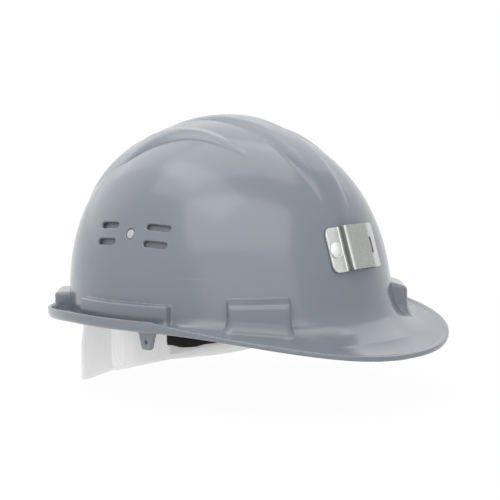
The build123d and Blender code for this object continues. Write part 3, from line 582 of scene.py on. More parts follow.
def distance_slope(p, step):
    """Distance and its gradient at points, by central differences."""
    here = shell_distance(p[:, 0], p[:, 1], p[:, 2])
    slope = np.empty_like(p)
    for axis in range(3):
        shift = np.zeros(3)
        shift[axis] = step
        ahead = p + shift
        behind = p - shift
        slope[:, axis] = (shell_distance(*ahead.T) - shell_distance(*behind.T)) / (2 * step)
    return here, slope


def near_surface(axes):
    """Distances on the grid, worked out only in the blocks that the surface may pass through."""
    coarse = [a[::SHELL_BLOCK] + SHELL_STEP * (SHELL_BLOCK - 1) / 2 for a in axes]
    grid = np.meshgrid(*coarse, indexing="ij")
    rough = shell_distance(*[g.ravel() for g in grid]).reshape(grid[0].shape)
    near = np.abs(rough) < SHELL_STEP * SHELL_BLOCK * BLOCK_MARGIN
    for axis in range(3):
        near = np.repeat(near, SHELL_BLOCK, axis=axis)
        rough = np.repeat(rough, SHELL_BLOCK, axis=axis)
    shape = tuple(len(a) for a in axes)
    near = near[:shape[0], :shape[1], :shape[2]]
    values = rough[:shape[0], :shape[1], :shape[2]].copy()
    i, j, k = np.nonzero(near)
    values[near] = shell_distance(axes[0][i], axes[1][j], axes[2][k])
    return values


def surface_net(values, axes):
    """Vertices and quads of the zero surface of a grid of distances."""
    inside = values < 0
    corners = [inside[i:inside.shape[0] - 1 + i, j:inside.shape[1] - 1 + j, k:inside.shape[2] - 1 + k]
               for i in (0, 1) for j in (0, 1) for k in (0, 1)]
    count = sum(c.astype(np.int8) for c in corners)
    cells = np.argwhere((count > 0) & (count < 8))
    index = np.full(count.shape, -1, np.int32)
    index[tuple(cells.T)] = np.arange(len(cells))
    total = np.zeros((len(cells), 3))
    hits = np.zeros(len(cells))
    offsets = [np.array((i, j, k)) for i in (0, 1) for j in (0, 1) for k in (0, 1)]
    for a in offsets:
        for axis in range(3):
            if a[axis]:
                continue
            b = a.copy()
            b[axis] = 1
            start = values[tuple((cells + a).T)]
            end = values[tuple((cells + b).T)]
            crossed = (start < 0) != (end < 0)
            share = np.where(crossed, start / np.where(crossed, start - end, 1), 0)
            spot = a + share[:, None] * (b - a)
            total += spot * crossed[:, None]
            hits += crossed
    origin = np.array([a[0] for a in axes])
    points = origin + SHELL_STEP * (cells + total / hits[:, None])
    quads = []
    for axis in range(3):
        one, two = [a for a in range(3) if a != axis]
        low = np.take(inside, range(inside.shape[axis] - 1), axis)
        high = np.take(inside, range(1, inside.shape[axis]), axis)
        for goes_in in (True, False):
            edges = np.argwhere((low != high) & (low == goes_in))
            edges = edges[(edges[:, one] > 0) & (edges[:, two] > 0)]
            ring = []
            for step_one, step_two in ((1, 1), (0, 1), (0, 0), (1, 0)):
                cell = edges.copy()
                cell[:, one] -= step_one
                cell[:, two] -= step_two
                ring.append(index[tuple(cell.T)])
            quad = np.stack(ring, axis=1)
            flip = goes_in == (axis == 1)
            quads.append(quad[:, ::-1] if flip else quad)
    return points, np.concatenate(quads)


def new_mesh(name, vertices, faces, smooth=True):
    """Object from lists or arrays of vertices in metres and faces."""
    mesh = bpy.data.meshes.new(name)
    mesh.from_pydata([tuple(v) for v in vertices], [], [tuple(f) for f in faces])
    mesh.update()
    for polygon in mesh.polygons:
        polygon.use_smooth = smooth
    thing = bpy.data.objects.new(name, mesh)
    bpy.context.scene.collection.objects.link(thing)
    return thing


def make_shell():
    """The one-piece moulding as a dense smooth mesh, with exact normals."""
    margin = 3 * SHELL_STEP
    side = DOME_HALF_WIDTH + GUTTER_REACH
    ends = ((-side, side), (-DOME_HALF_LENGTH - GUTTER_REACH, PEAK_TIP),
            (-PEAK_DROOP, DOME_BASE + DOME_HEIGHT + RIB_HEIGHT))
    axes = [np.arange(low - margin, high + margin, SHELL_STEP) for low, high in ends]
    points, quads = surface_net(near_surface(axes), axes)
    for _ in range(SETTLE_TURNS):
        value, slope = distance_slope(points, SLOPE_STEP)
        size = np.sum(slope ** 2, axis=1) + 1e-6
        step = np.clip(value / size, -SETTLE_REACH * SHELL_STEP, SETTLE_REACH * SHELL_STEP)
        points -= step[:, None] * slope
    slope = distance_slope(points, NORMAL_STEP)[1]
    normals = slope / (np.linalg.norm(slope, axis=1)[:, None] + 1e-9)
    world = np.column_stack([points[:, 0] * MM, (DOME_Y - points[:, 1]) * MM, (RIM_Z + points[:, 2]) * MM])
    normals[:, 1] *= -1
    shell = new_mesh("helmet_shell", world, quads[:, ::-1])
    shell.data.normals_split_custom_set_from_vertices([tuple(n) for n in normals])
    return shell


def finished(thing, material, body, slot, *nodes):
    """Gives a piece its material, its body and the CAD nodes that it stands for. The slot is not used."""
    assign(thing, material)
    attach(thing, body)
    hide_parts(*nodes)
    return thing


def shade(thing, degrees=SHARP_ANGLE):
    """Smooth shading with the edges over an angle kept sharp."""
    thing.data.shade_smooth()
    thing.data.set_sharp_from_angle(angle=math.radians(degrees))


def apply_modifiers(thing):
    """Keeps the modified mesh as the object's own."""
    evaluated = thing.evaluated_get(bpy.context.evaluated_depsgraph_get())
    mesh = bpy.data.meshes.new_from_object(evaluated)
    thing.modifiers.clear()
    thing.data = mesh


def bevel_edges(thing, width, segments, angle):
    """Adds a modifier that rounds the crisp edges. The width is in millimetres."""
    edge = thing.modifiers.new("edge", "BEVEL")
    edge.width = width * MM
    edge.segments = segments
    edge.limit_method = "ANGLE"
    edge.angle_limit = math.radians(angle)
    return edge


def thicken(thing, thickness, bevel, segments=3):
    """Turns an open sheet into a plate with rounded edges. Sizes are in millimetres."""
    solid = thing.modifiers.new("solid", "SOLIDIFY")
    solid.thickness = thickness * MM
    solid.offset = 0
    solid.use_even_offset = True
    bevel_edges(thing, bevel, segments, 50)
    apply_modifiers(thing)
    shade(thing)


def fillet_path(points, radius, steps=6):
    """Polyline in a plane with its corners rounded by arcs."""
    path = [Vector(points[0])]
    for before, corner, after in zip(points, points[1:], points[2:]):
        before, corner, after = Vector(before), Vector(corner), Vector(after)
        way_in = (before - corner).normalized()
        way_out = (after - corner).normalized()
        half = math.acos(max(-1, min(1, way_in.dot(way_out)))) / 2
        reach = min(radius / math.tan(half), 0.49 * (before - corner).length, 0.49 * (after - corner).length)
        size = reach * math.tan(half)
        middle = corner + (way_in + way_out).normalized() * (size / math.sin(half))
        start = corner + way_in * reach
        end = corner + way_out * reach
        for step in range(steps + 1):
            spot = start.lerp(end, step / steps) - middle
            path.append(middle + spot.normalized() * size)
    path.append(Vector(points[-1]))
    return path


def divide(path, longest):
    """Adds points so that no stretch of a path is longer than a length."""
    result = [path[0]]
    for a, b in zip(path, path[1:]):
        count = max(1, math.ceil((b - a).length / longest))
        result += [a.lerp(b, (i + 1) / count) for i in range(count)]
    return result


def lathe(name, profile, origin, axis, segments=48):
    """Round piece from radii and heights in millimetres, along an axis from an origin in metres."""
    axis = Vector(axis).normalized()
    side = axis.orthogonal().normalized()
    other = axis.cross(side)
    vertices, faces = [], []
    for radius, height in profile:
        for i in range(segments):
            turn = 2 * math.pi * i / segments
            out = (side * math.cos(turn) + other * math.sin(turn)) * max(radius, 0.001)
            vertices.append(origin + (out + axis * height) * MM)
    for ring in range(len(profile) - 1):
        for i in range(segments):
            j = (i + 1) % segments
            a, b = ring * segments, (ring + 1) * segments
            faces.append((a + i, b + i, b + j, a + j))
    thing = new_mesh(name, vertices, faces)
    mesh = bmesh.new()
    mesh.from_mesh(thing.data)
    bmesh.ops.remove_doubles(mesh, verts=mesh.verts, dist=WELD * MM)
    bmesh.ops.recalc_face_normals(mesh, faces=mesh.faces)
    mesh.to_mesh(thing.data)
    mesh.free()
    shade(thing)
    return thing


def join(name, *things):
    """Makes several objects one piece."""
    mesh = bmesh.new()
    for thing in things:
        mesh.from_mesh(thing.data)
        bpy.data.objects.remove(thing)
    joined = new_mesh(name, [], [])
    mesh.to_mesh(joined.data)
    mesh.free()
    return joined


def softened(node, width):
    """Copy of a CAD node with its crisp edges rounded, to stand for it."""
    mesh = bmesh.new()
    mesh.from_mesh(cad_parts[node].data)
    bmesh.ops.remove_doubles(mesh, verts=mesh.verts, dist=NODE_WELD * MM)
    bmesh.ops.dissolve_limit(mesh, angle_limit=math.radians(1), verts=mesh.verts, edges=mesh.edges)
    thing = new_mesh(node + "_rounded", [], [])
    mesh.to_mesh(thing.data)
    mesh.free()
    bevel_edges(thing, width, 2, 40).use_clamp_overlap = True
    apply_modifiers(thing)
    shade(thing)
    return thing


def row_axes(turn, angle):
    """Origin, level axis to the wearer's left, upward and outward axes of a place on the dome, in the row frame."""
    origin, _, _, outward = dome_axes(turn, angle)
    outward = Vector((outward.x, -outward.y, outward.z)).normalized()
    level = Vector((0, 0, 1)).cross(outward).normalized()
    return place(*origin), level, outward.cross(level), outward


def grid_sheet(name, rows, skip=()):
    """Open sheet from rows of points in metres. Cells in skip are left out."""
    width = len(rows[0])
    vertices = [point for row in rows for point in row]
    faces = []
    for i in range(len(rows) - 1):
        for j in range(width - 1):
            if (i, j) not in skip:
                a = i * width + j
                faces.append((a, a + 1, a + width + 1, a + width))
    return new_mesh(name, vertices, faces)


def corner_half(half, corner, gap):
    """Half width of a strip with round corners, at a distance from its end."""
    if gap >= corner:
        return half
    return half - corner + math.sqrt(max(0, corner ** 2 - (corner - gap) ** 2))


def bracket_surface(across):
    """Distance from the bracket's plane back to the dome at this distance to the side."""
    half_width, half_length = dome_section(BRACKET_ANGLE)[1:3]
    return half_length * (math.sqrt(1 - (across / half_width) ** 2) - 1)


def make_bracket():
    """One bent strip: flange, step, front plate, rolled end and the leaf behind it."""
    origin, level, upward, outward = row_axes(0, BRACKET_ANGLE)
    half = BRACKET_SHEET / 2
    start = bracket_surface(BRACKET_FLANGE_START) + BRACKET_STAND + half
    front = BRACKET_FRONT + half
    leaf = BRACKET_STAND + half
    slot_edges = [-BRACKET_SLOT_AT + BRACKET_SLOT_HALF_WIDTH, -BRACKET_SLOT_AT - BRACKET_SLOT_HALF_WIDTH]
    bends = fillet_path([(BRACKET_FLANGE_END, start - BRACKET_FLANGE_TURN), (BRACKET_FLANGE_START + half, start),
                         (BRACKET_STEP_END + half, front), (slot_edges[0], front)], BRACKET_BEND)
    radius = (front - leaf) / 2
    reach = BRACKET_CURL_END - half + slot_edges[1]
    roll = []
    for step in range(BRACKET_ROLL_STEPS + 1):
        turn = math.pi * step / BRACKET_ROLL_STEPS
        roll.append(Vector((slot_edges[1] - reach * math.sin(turn), leaf + radius + radius * math.cos(turn))))
    path = divide(bends, STRIP_STEP) + roll
    path += divide([roll[-1], Vector((-BRACKET_LEAF_END, leaf))], STRIP_STEP)[1:]
    slot_share = 2 * BRACKET_SLOT_HALF_LENGTH / BRACKET_TALL
    shares = [-1, -0.85, -0.6, -slot_share, -slot_share * 0.93, 0, slot_share * 0.93, slot_share, 0.6, 0.85, 1]
    rows = []
    for spot in path:
        end = BRACKET_FLANGE_END if spot.x > 0 else BRACKET_CURL_END
        wide = corner_half(BRACKET_TALL / 2, BRACKET_CORNER, end - abs(spot.x))
        middle = origin + (outward * spot.y - level * spot.x) * MM
        rows.append([middle + upward * (wide * share * MM) for share in shares])
    cut = next(i for i, spot in enumerate(path) if abs(spot.x - slot_edges[0]) < 1e-6)
    skip = {(cut, j) for j in range(3, 7)}
    sheet = grid_sheet("lamp_bracket_steel", rows, skip)
    thicken(sheet, BRACKET_SHEET, BRACKET_BEVEL, 2)
    # Colour layer of painted light and shade along the bent strip, multiplied into the steel's colour.
    painted_light_layer = sheet.data.color_attributes.new("painted_light", "FLOAT_COLOR", "POINT")
    for vertex, mark in zip(sheet.data.vertices, painted_light_layer.data):
        ahead = (origin - vertex.co).dot(level) / MM
        painted_light = float(np.interp(ahead, *zip(*BRACKET_PAINTED_LIGHT)))
        # The inside of the rolled end gets painted shade.
        if ahead < BRACKET_STEP_END and (vertex.co - origin).dot(outward) / MM < leaf + radius:
            painted_light = BRACKET_INNER_PAINTED_SHADE
        mark.color = (0.97 * painted_light, painted_light, 0.96 * painted_light, 1)
    finished(sheet, bracket_steel(), "helmet", "bracket_steel", "lamp_bracket")


def rivet_profile(radius, head_height, grip):
    """Radii and heights of a rivet: spread tail, shank, and a domed head with a soft rim."""
    profile = [(0, -grip - RIVET_TAIL), (0.7 * SHANK_RADIUS, -grip - RIVET_TAIL),
               (1.25 * SHANK_RADIUS, -grip - RIVET_TAIL / 2), (1.3 * SHANK_RADIUS, -grip), (SHANK_RADIUS, -grip),
               (SHANK_RADIUS, 0), (0.86 * radius, 0), (0.9 * radius, 0.1 * radius), (radius, 0.14 * radius)]
    ball = (radius ** 2 + head_height ** 2) / (2 * head_height)
    reach = math.asin(radius * 0.94 / ball)
    steps = 10
    for step in range(steps + 1):
        turn = reach * (1 - step / steps)
        profile.append((ball * math.sin(turn), head_height - ball + ball * math.cos(turn)))
    return profile


def rivet(name, node, metal, size, at, axis):
    """One rivet of a radius, head height and grip, which stands for a CAD node."""
    finished(lathe(name, rivet_profile(*size), at, axis), metal, "helmet", "rivet_aluminium", node)


def make_rivets():
    """Rivets of the lamp bracket and the cable clip."""
    origin, level, _, outward = row_axes(0, BRACKET_ANGLE)
    start = bracket_surface(BRACKET_FLANGE_START) + BRACKET_STAND
    run = BRACKET_FLANGE_END - BRACKET_FLANGE_START
    tilt = math.atan2(BRACKET_FLANGE_TURN, run)
    seat = start - BRACKET_FLANGE_TURN * (FLANGE_RIVET_AT - BRACKET_FLANGE_START) / run
    axis = outward * math.cos(tilt) - level * math.sin(tilt)
    at = origin + (outward * seat - level * FLANGE_RIVET_AT + axis * BRACKET_SHEET) * MM
    metal = rivet_metal()
    bright = (RIVET_RADIUS, RIVET_HEIGHT, RIVET_GRIP)
    rivet("bracket_rivet_bright", "bracket_flange_rivet", metal, bright, at, axis)
    at = origin + (outward * (BRACKET_STAND + BRACKET_SHEET) + level * LEAF_RIVET_AT) * MM
    hidden = (LEAF_RIVET_RADIUS, LEAF_RIVET_HEIGHT, RIVET_GRIP - bracket_surface(LEAF_RIVET_AT))
    rivet("bracket_rivet_hidden", "bracket_leaf_rivet", metal, hidden, at, outward)
    origin, _, upward, outward = row_axes(180, CLIP_ANGLE)
    at = origin + (outward * (BRACKET_STAND + CLIP_SHEET) + upward * CLIP_RIVET_UP) * MM
    rivet("clip_rivet_bright", "cable_clip_rivet", metal, bright, at, outward)


def make_clip():
    """Cable clip: a strip up the back that turns round into a hook."""
    origin, level, upward, outward = row_axes(180, CLIP_ANGLE)
    back = BRACKET_STAND + CLIP_SHEET / 2
    radius = (CLIP_THROAT + CLIP_SHEET) / 2
    path = divide([Vector((back, CLIP_HALF_TALL)), Vector((back, -CLIP_HALF_TALL))], STRIP_STEP)
    for step in range(1, CLIP_TURN_STEPS + 1):
        turn = math.pi * step / CLIP_TURN_STEPS
        path.append(Vector((back + radius - radius * math.cos(turn), -CLIP_HALF_TALL - radius * math.sin(turn))))
    end = Vector((back + 2 * radius, -CLIP_HALF_TALL + CLIP_HOOK_RISE))
    path += divide([path[-1], end], 1.0)[1:]
    shares = [-1, -0.85, -0.4, 0.4, 0.85, 1]
    rows = []
    for spot in path:
        gap = CLIP_HALF_TALL - spot.y if spot.x < back + radius else end.y - spot.y
        wide = corner_half(CLIP_WIDTH / 2, CLIP_CORNER, gap)
        middle = origin + (outward * spot.x + upward * spot.y) * MM
        rows.append([middle + level * (wide * share * MM) for share in shares])
    sheet = grid_sheet("cable_clip_moulded", rows)
    thicken(sheet, CLIP_SHEET, CLIP_BEVEL, 2)
    finished(sheet, dark_plastic("clip_plastic"), "helmet", "clip_plastic", "cable_clip")


def make_studs():
    """White studs of the vents: a round head outside and a finger knob inside."""
    for name, side in SIDES.items():
        origin, level, _, outward = row_axes(side * VENT_TURN, VENT_ANGLE)
        base = -STUD_RECESS_DEPTH
        top = base + STUD_HEAD_HEIGHT
        profile = [(0, -KNOB_DEPTH - 0.5 * KNOB_HEIGHT), (0.92 * KNOB_RADIUS, -KNOB_DEPTH - 0.5 * KNOB_HEIGHT),
                   (KNOB_RADIUS, -KNOB_DEPTH - 0.4 * KNOB_HEIGHT), (KNOB_RADIUS, -KNOB_DEPTH - 0.1 * KNOB_HEIGHT),
                   (0.92 * KNOB_RADIUS, -KNOB_DEPTH), (STUD_RADIUS, -KNOB_DEPTH), (STUD_RADIUS, base),
                   (STUD_HEAD_RADIUS, base), (STUD_HEAD_RADIUS, base + 0.55 * STUD_HEAD_HEIGHT),
                   (0.86 * STUD_HEAD_RADIUS, base + 0.85 * STUD_HEAD_HEIGHT),
                   (0.6 * STUD_HEAD_RADIUS, top), (0, top)]
        stud = lathe("stud_body", profile, origin, outward)
        grip_rows = []
        for along in (-0.95, -0.8, 0, 0.8, 0.95):
            reach = along * KNOB_RADIUS
            low = KNOB_DEPTH + 0.4 * KNOB_HEIGHT
            high = KNOB_DEPTH + KNOB_HEIGHT * (1 if abs(along) < 0.9 else 0.85)
            grip_rows.append([origin + (level * reach - outward * depth) * MM for depth in (low, high)])
        grip = grid_sheet("stud_grip", grip_rows)
        thicken(grip, KNOB_GRIP, 0.6)
        whole = join(f"vent_stud_{name}_moulded", stud, grip)
        shade(whole)
        finished(whole, white_plastic(), f"vent_{name}", "stud_plastic", f"vent_stud_{name}")


def make_straps():
    """Crown straps: webbing over the head from each front key to the rear key on the other side."""
    material = webbing()
    corner = Vector((DOME_HALF_WIDTH * math.sin(math.radians(KEY_ANGLE)),
                     DOME_HALF_LENGTH * math.cos(math.radians(KEY_ANGLE))))
    shares = [-1, -0.93, -0.8, -0.4, 0, 0.4, 0.8, 0.93, 1]
    for name, side in SIDES.items():
        rise = STRAP_RISE if side < 0 else STRAP_RISE - STRAP_STEP
        run = Vector((side * corner.x, -corner.y, 0)).normalized()
        across = run.cross(Vector((0, 0, 1)))
        rows, marks = [], []
        length = 0
        last = None
        for step in range(STRAP_STEPS + 1):
            turn = math.pi * step / STRAP_STEPS
            reach = (STRAP_HALF_SPAN - STRAP_THICKNESS / 2) * math.cos(turn)
            height = (rise - STRAP_THICKNESS / 2) * math.sin(turn)
            middle = place(0, 0, STRAP_END_HEIGHT + height) + run * reach * MM
            length += (middle - last).length if last else 0
            last = middle
            rows.append([middle + across * (share * STRAP_WIDTH / 2 * MM) for share in shares])
            marks.append([(length, share * STRAP_WIDTH / 2 * MM) for share in shares])
        strap = grid_sheet(f"crown_strap_{name}_woven", rows)
        layer = strap.data.uv_layers.new(name="weave")
        flat = [mark for row in marks for mark in row]
        for loop in strap.data.loops:
            layer.data[loop.index].uv = flat[loop.vertex_index]
        thicken(strap, STRAP_THICKNESS, 0.4, 2)
        finished(strap, material, "helmet", "strap_webbing", f"crown_strap_{name}")


def edge_height(ends, fore):
    """Height of a straight edge of the headband at a distance ahead."""
    share = (fore - BAND_WING) / (BAND_FRONT - BAND_WING)
    return ends[0] + (ends[1] - ends[0]) * share


def band_line(grow, end):
    """Plan points of the headband's curve from the right wing's end round the front to the left one."""
    half_width = BAND_HALF_WIDTH + grow
    half_length = BAND_FRONT - BAND_CURVE + grow
    points = []
    first = 0
    if end < BAND_CURVE:
        count = max(1, round((BAND_CURVE - end) / BAND_STEP))
        points = [(-half_width, end + (BAND_CURVE - end) * i / count) for i in range(count)]
    else:
        first = math.asin(min(1, (end - BAND_CURVE) / half_length))
    count = round((math.pi - 2 * first) * half_length / BAND_STEP)
    turns = [first + (math.pi - 2 * first) * i / count for i in range(count + 1)]
    points += [(-half_width * math.cos(turn), BAND_CURVE + half_length * math.sin(turn)) for turn in turns]
    if end < BAND_CURVE:
        points += [(-x, y) for x, y in reversed(points) if y < BAND_CURVE - 1e-6]
    return points


def make_headband():
    """Headband: a milky U of plastic, with a slot in each wing and a thick bead at each wing's end."""
    line = band_line(-BAND_THICKNESS / 2, BAND_WING)
    rows, skip = [], set()
    for i, (x, y) in enumerate(line):
        gap = y - BAND_WING
        trim = BAND_CORNER - corner_half(BAND_CORNER, BAND_CORNER, gap) if gap < BAND_CORNER else 0
        low = edge_height(BAND_BOTTOM, y) + trim
        high = edge_height(BAND_TOP, y) - trim
        blend = float(ease((y - BAND_SLOT_FADE_START) / BAND_SLOT_FADE))
        slot_low = BAND_SLOT_HEIGHT - BAND_SLOT_HALF
        slot_high = BAND_SLOT_HEIGHT + BAND_SLOT_HALF
        slot_low += (low + 0.45 * (high - low) - slot_low) * blend
        slot_high += (low + 0.55 * (high - low) - slot_high) * blend
        heights = [low + (slot_low - low) * s for s in BAND_ROWS_UNDER_SLOT]
        heights += [slot_low, slot_high]
        heights += [slot_high + (high - slot_high) * s for s in BAND_ROWS_OVER_SLOT]
        rows.append([place(x, y, h) for h in heights])
        ahead = line[i + 1][1] if i + 1 < len(line) else y
        middle = (y + ahead) / 2
        if BAND_SLOT[0] - BAND_SLOT_HALF < middle < BAND_SLOT[1] + BAND_SLOT_HALF:
            skip.add((i, len(BAND_ROWS_UNDER_SLOT)))
    band = grid_sheet("headband_milky", rows, skip)
    thicken(band, BAND_THICKNESS, BAND_EDGE)
    beads = [band]
    for side in SIDES.values():
        across = side * BAND_HALF_WIDTH
        for offset in BEAD_OFFSETS:
            y = BAND_WING + offset
            low = edge_height(BAND_BOTTOM, y) + BEAD_END_LOW
            high = edge_height(BAND_TOP, y) - BEAD_END_HIGH
            bead = rod("bead", place(across, y, low), place(across, y, high), BEAD_RADIUS)
            for vertex in bead.data.vertices:
                vertex.co.x = (across * (1 - BEAD_SQUASH)) * MM + BEAD_SQUASH * vertex.co.x
            beads.append(bead)
    whole = join("headband_milky", *beads)
    shade(whole)
    finished(whole, band_plastic(), "helmet", "band_plastic", "headband")


def rod(name, start, end, radius):
    """Round rod with domed ends between two points in metres."""
    length = (end - start).length / MM
    profile = [(0, 0), (0.7 * radius, 0.15 * radius), (radius, radius), (radius, length - radius),
               (0.7 * radius, length - 0.15 * radius), (0, length)]
    return lathe(name, profile, start, end - start, 16)


def piecewise(points, value):
    """Height of a line of straight stretches, with its corners eased."""
    return float(smooth_curve(points, np.array([float(value)]), 1, 1)[0])


def nape_line(grow):
    """Plan points of the nape strap from the right arm's end round the back to the left one."""
    half_width = NAPE_HALF_WIDTH + grow
    half_length = NAPE_REAR + NAPE_CURVE + grow
    count = round((NAPE_ARM - NAPE_CURVE) / BAND_STEP)
    points = [(-half_width, NAPE_ARM + (NAPE_CURVE - NAPE_ARM) * i / count) for i in range(count)]
    around = round(math.pi * half_length / BAND_STEP)
    turns = [math.pi * i / around for i in range(around + 1)]
    points += [(-half_width * math.cos(turn), NAPE_CURVE - half_length * math.sin(turn)) for turn in turns]
    return points + [(-x, y) for x, y in reversed(points[:count])]


def make_nape():
    """Nape strap: a deep milky cradle round the back, whose upper edge leans in a little."""
    line = nape_line(-NAPE_THICKNESS / 2)
    shares = [0, 0.04, 0.12, 0.3, 0.45, 0.55, 0.65, 0.75, 0.88, 0.96, 1]
    rows = []
    for x, y in line:
        low = piecewise(NAPE_LOWER, y)
        high = piecewise(NAPE_UPPER, y)
        heights = [low + (high - low) * share for share in shares]
        lean = NAPE_LEAN * float(ease((-y - NAPE_LEAN_BEHIND) / NAPE_LEAN_FADE))
        leans = [lean * float(ease((h - NAPE_LEAN_FOOT) / NAPE_LEAN_RISE)) for h in heights]
        rows.append([place(x * (1 - turn), y, h) for turn, h in zip(leans, heights)])
    strap = grid_sheet("nape_strap_milky", rows)
    thicken(strap, NAPE_THICKNESS, BAND_EDGE)
    finished(strap, band_plastic(), "nape", "band_plastic", "nape_strap")


def make_sweatband():
    """Sweatband: a soft pad inside the headband, folded over its top edge and down the outside."""
    line = band_line(0, PAD_END)
    rows = []
    count = len(line)
    inner_face = -BAND_THICKNESS - PAD_GAP
    for i, (x, y) in enumerate(line):
        a = Vector(line[max(i - 1, 0)])
        b = Vector(line[min(i + 1, count - 1)])
        way = (b - a).normalized()
        out = Vector((-way.y, way.x))
        end = min(i, count - 1 - i)
        full = PAD_TAPER_SHARE + (1 - PAD_TAPER_SHARE) * math.sqrt(min(end / PAD_TAPER_ROWS, 1))
        pad_low = edge_height(BAND_BOTTOM, y) + PAD_HEM
        fold = edge_height(BAND_TOP, y) + PAD_GAP
        sag = FLAP_SAG * math.exp(-((y - PAD_END - FLAP_SAG_AT) / FLAP_SAG_WIDTH) ** 2)
        sag -= FLAP_LIFT * math.exp(-((y - PAD_END) / FLAP_LIFT_WIDTH) ** 2)
        wave = FLAP_WAVE * math.sin(FLAP_WAVE_FAST * i) * math.sin(FLAP_WAVE_SLOW * i)
        flap_low = edge_height(FLAP_BOTTOM, y) - sag + wave
        loop = []
        outer = PAD_GAP + FLAP_THICKNESS * full
        inner = inner_face - PAD_THICKNESS * full
        for share in (0, 0.1, 0.3, 0.5, 0.7, 0.9):
            loop.append((outer - (0 if share else PAD_INSET), flap_low + (fold - flap_low) * share))
        middle = (outer + inner) / 2
        half = (outer - inner) / 2
        for step in range(PAD_FOLD_STEPS + 1):
            turn = math.pi * step / PAD_FOLD_STEPS
            loop.append((middle + half * math.cos(turn), fold + FLAP_THICKNESS * full * math.sin(turn)))
        for share in (0.92, 0.75, 0.5, 0.25, 0.08, 0):
            crown = PAD_CROWN * math.sin(math.pi * share) - PAD_HOLLOW
            loop.append((inner - crown * full, pad_low + (fold - pad_low) * share))
        for share in (0, 0.1, 0.5, 0.9, 1):
            back = inner_face - (0 if share else PAD_INSET)
            loop.append((back, pad_low + (fold - pad_low) * share))
        for share in (1, 0.9, 0.5, 0.1, 0):
            loop.append((PAD_GAP + (0 if share else PAD_INSET), flap_low + (fold - flap_low) * share))
        rows.append([place(x + out.x * d, y + out.y * d, h) for d, h in loop])
    size = len(rows[0])
    vertices = [p for row in rows for p in row]
    faces = [(i * size + j, i * size + (j + 1) % size, (i + 1) * size + (j + 1) % size, (i + 1) * size + j)
             for i in range(count - 1) for j in range(size)]
    faces += [tuple(range(size)), tuple((count - 1) * size + j for j in reversed(range(size)))]
    pad = new_mesh("sweatband_knit", vertices, faces)
    mesh = bmesh.new()
    mesh.from_mesh(pad.data)
    bmesh.ops.triangulate(mesh, faces=[f for f in mesh.faces if len(f.verts) > 4])
    bmesh.ops.recalc_face_normals(mesh, faces=mesh.faces)
    mesh.to_mesh(pad.data)
    mesh.free()
    shade(pad, 60)
    finished(pad, knit(), "helmet", "sweatband_fabric", "sweatband")


def make_small_parts():
    """Keys, button, studs and washers: the CAD shapes with their edges rounded."""
    key = dark_plastic("key_plastic")
    steel = washer_steel()
    for end in ("front", "rear"):
        for name in SIDES:
            node = f"suspension_key_{end}_{name}"
            finished(softened(node, 0.4), key, "helmet", "key_plastic", node)
    finished(softened("crown_button", 0.4), key, "helmet", "key_plastic", "crown_button")
    for name in SIDES:
        node = f"size_stud_{name}"
        finished(softened(node, 0.3), white_plastic(), "nape", "stud_plastic", node)
    for node in ("bracket_washers", "cable_clip_washer"):
        finished(softened(node, 0.15), steel, "helmet", "washer_steel", node)


def dress_shutters():
    """The shutters keep their CAD shape and get the shell's plastic, a little duller."""
    material = surface("shutter_plastic", (0.235, 0.258, 0.295), 0.42,
                       [("grain", 900, 2, {}, (0.15, 0.0002)),
                        ("cloud", 30, 3, {"Base Color": [(0.3, (0.225, 0.248, 0.285)), (0.7, (0.245, 0.268, 0.305))]},
                         None)])
    for name in SIDES:
        assign(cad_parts[f"vent_shutter_{name}"], material)


def principled(name, color, roughness, **sockets):
    """New material with its shader, and the shader node."""
    material = bpy.data.materials.new(name)
    material.use_nodes = True
    shader = material.node_tree.nodes["Principled BSDF"]
    shader.inputs["Base Color"].default_value = (*color, 1)
    shader.inputs["Roughness"].default_value = roughness
    for socket, value in sockets.items():
        shader.inputs[socket.replace("_", " ")].default_value = value
    return material, shader


def noise(material, scale, detail, name="noise"):
    """Noise texture over the object's own coordinates."""
    nodes = material.node_tree.nodes
    texture = nodes.new("ShaderNodeTexNoise")
    texture.name = name
    texture.inputs["Scale"].default_value = scale
    texture.inputs["Detail"].default_value = detail
    where = nodes.new("ShaderNodeTexCoord")
    material.node_tree.links.new(where.outputs["Object"], texture.inputs["Vector"])
    return texture


def ramp(material, source, stops):
    """Colours from a texture's value. A stop is a position with a colour or with a level of grey."""
    node = material.node_tree.nodes.new("ShaderNodeValToRGB")
    elements = node.color_ramp.elements
    while len(elements) < len(stops):
        elements.new(0.5)
    for element, (position, color) in zip(elements, stops):
        element.position = position
        element.color = (*color, 1) if isinstance(color, tuple) else (color, color, color, 1)
    material.node_tree.links.new(source, node.inputs["Fac"])
    return node


def bump(material, shader, source, strength, distance):
    """Bump from a height value, chained before any bump already there."""
    node = material.node_tree.nodes.new("ShaderNodeBump")
    node.inputs["Strength"].default_value = strength
    node.inputs["Distance"].default_value = distance
    links = material.node_tree.links
    links.new(source, node.inputs["Height"])
    socket = shader.inputs["Normal"]
    if socket.is_linked:
        links.new(socket.links[0].from_socket, node.inputs["Normal"])
    links.new(node.outputs["Normal"], socket)
    return node


def vary(material, source, socket, stops):
    """Lets a texture's value drive a socket of the material's shader."""
    shader = material.node_tree.nodes["Principled BSDF"]
    tint = ramp(material, source, stops)
    material.node_tree.links.new(tint.outputs["Color"], shader.inputs[socket])
    return tint


def surface(name, color, roughness, textures, **sockets):
    """Material from noise textures: each has a name, scale, detail, the stops for sockets, and its bump or None."""
    material, shader = principled(name, color, roughness, **sockets)
    for title, scale, detail, ramps, relief in textures:
        source = noise(material, scale, detail, title).outputs["Fac"]
        for socket, stops in ramps.items():
            vary(material, source, socket, stops)
        if relief:
            bump(material, shader, source, *relief)
    return material


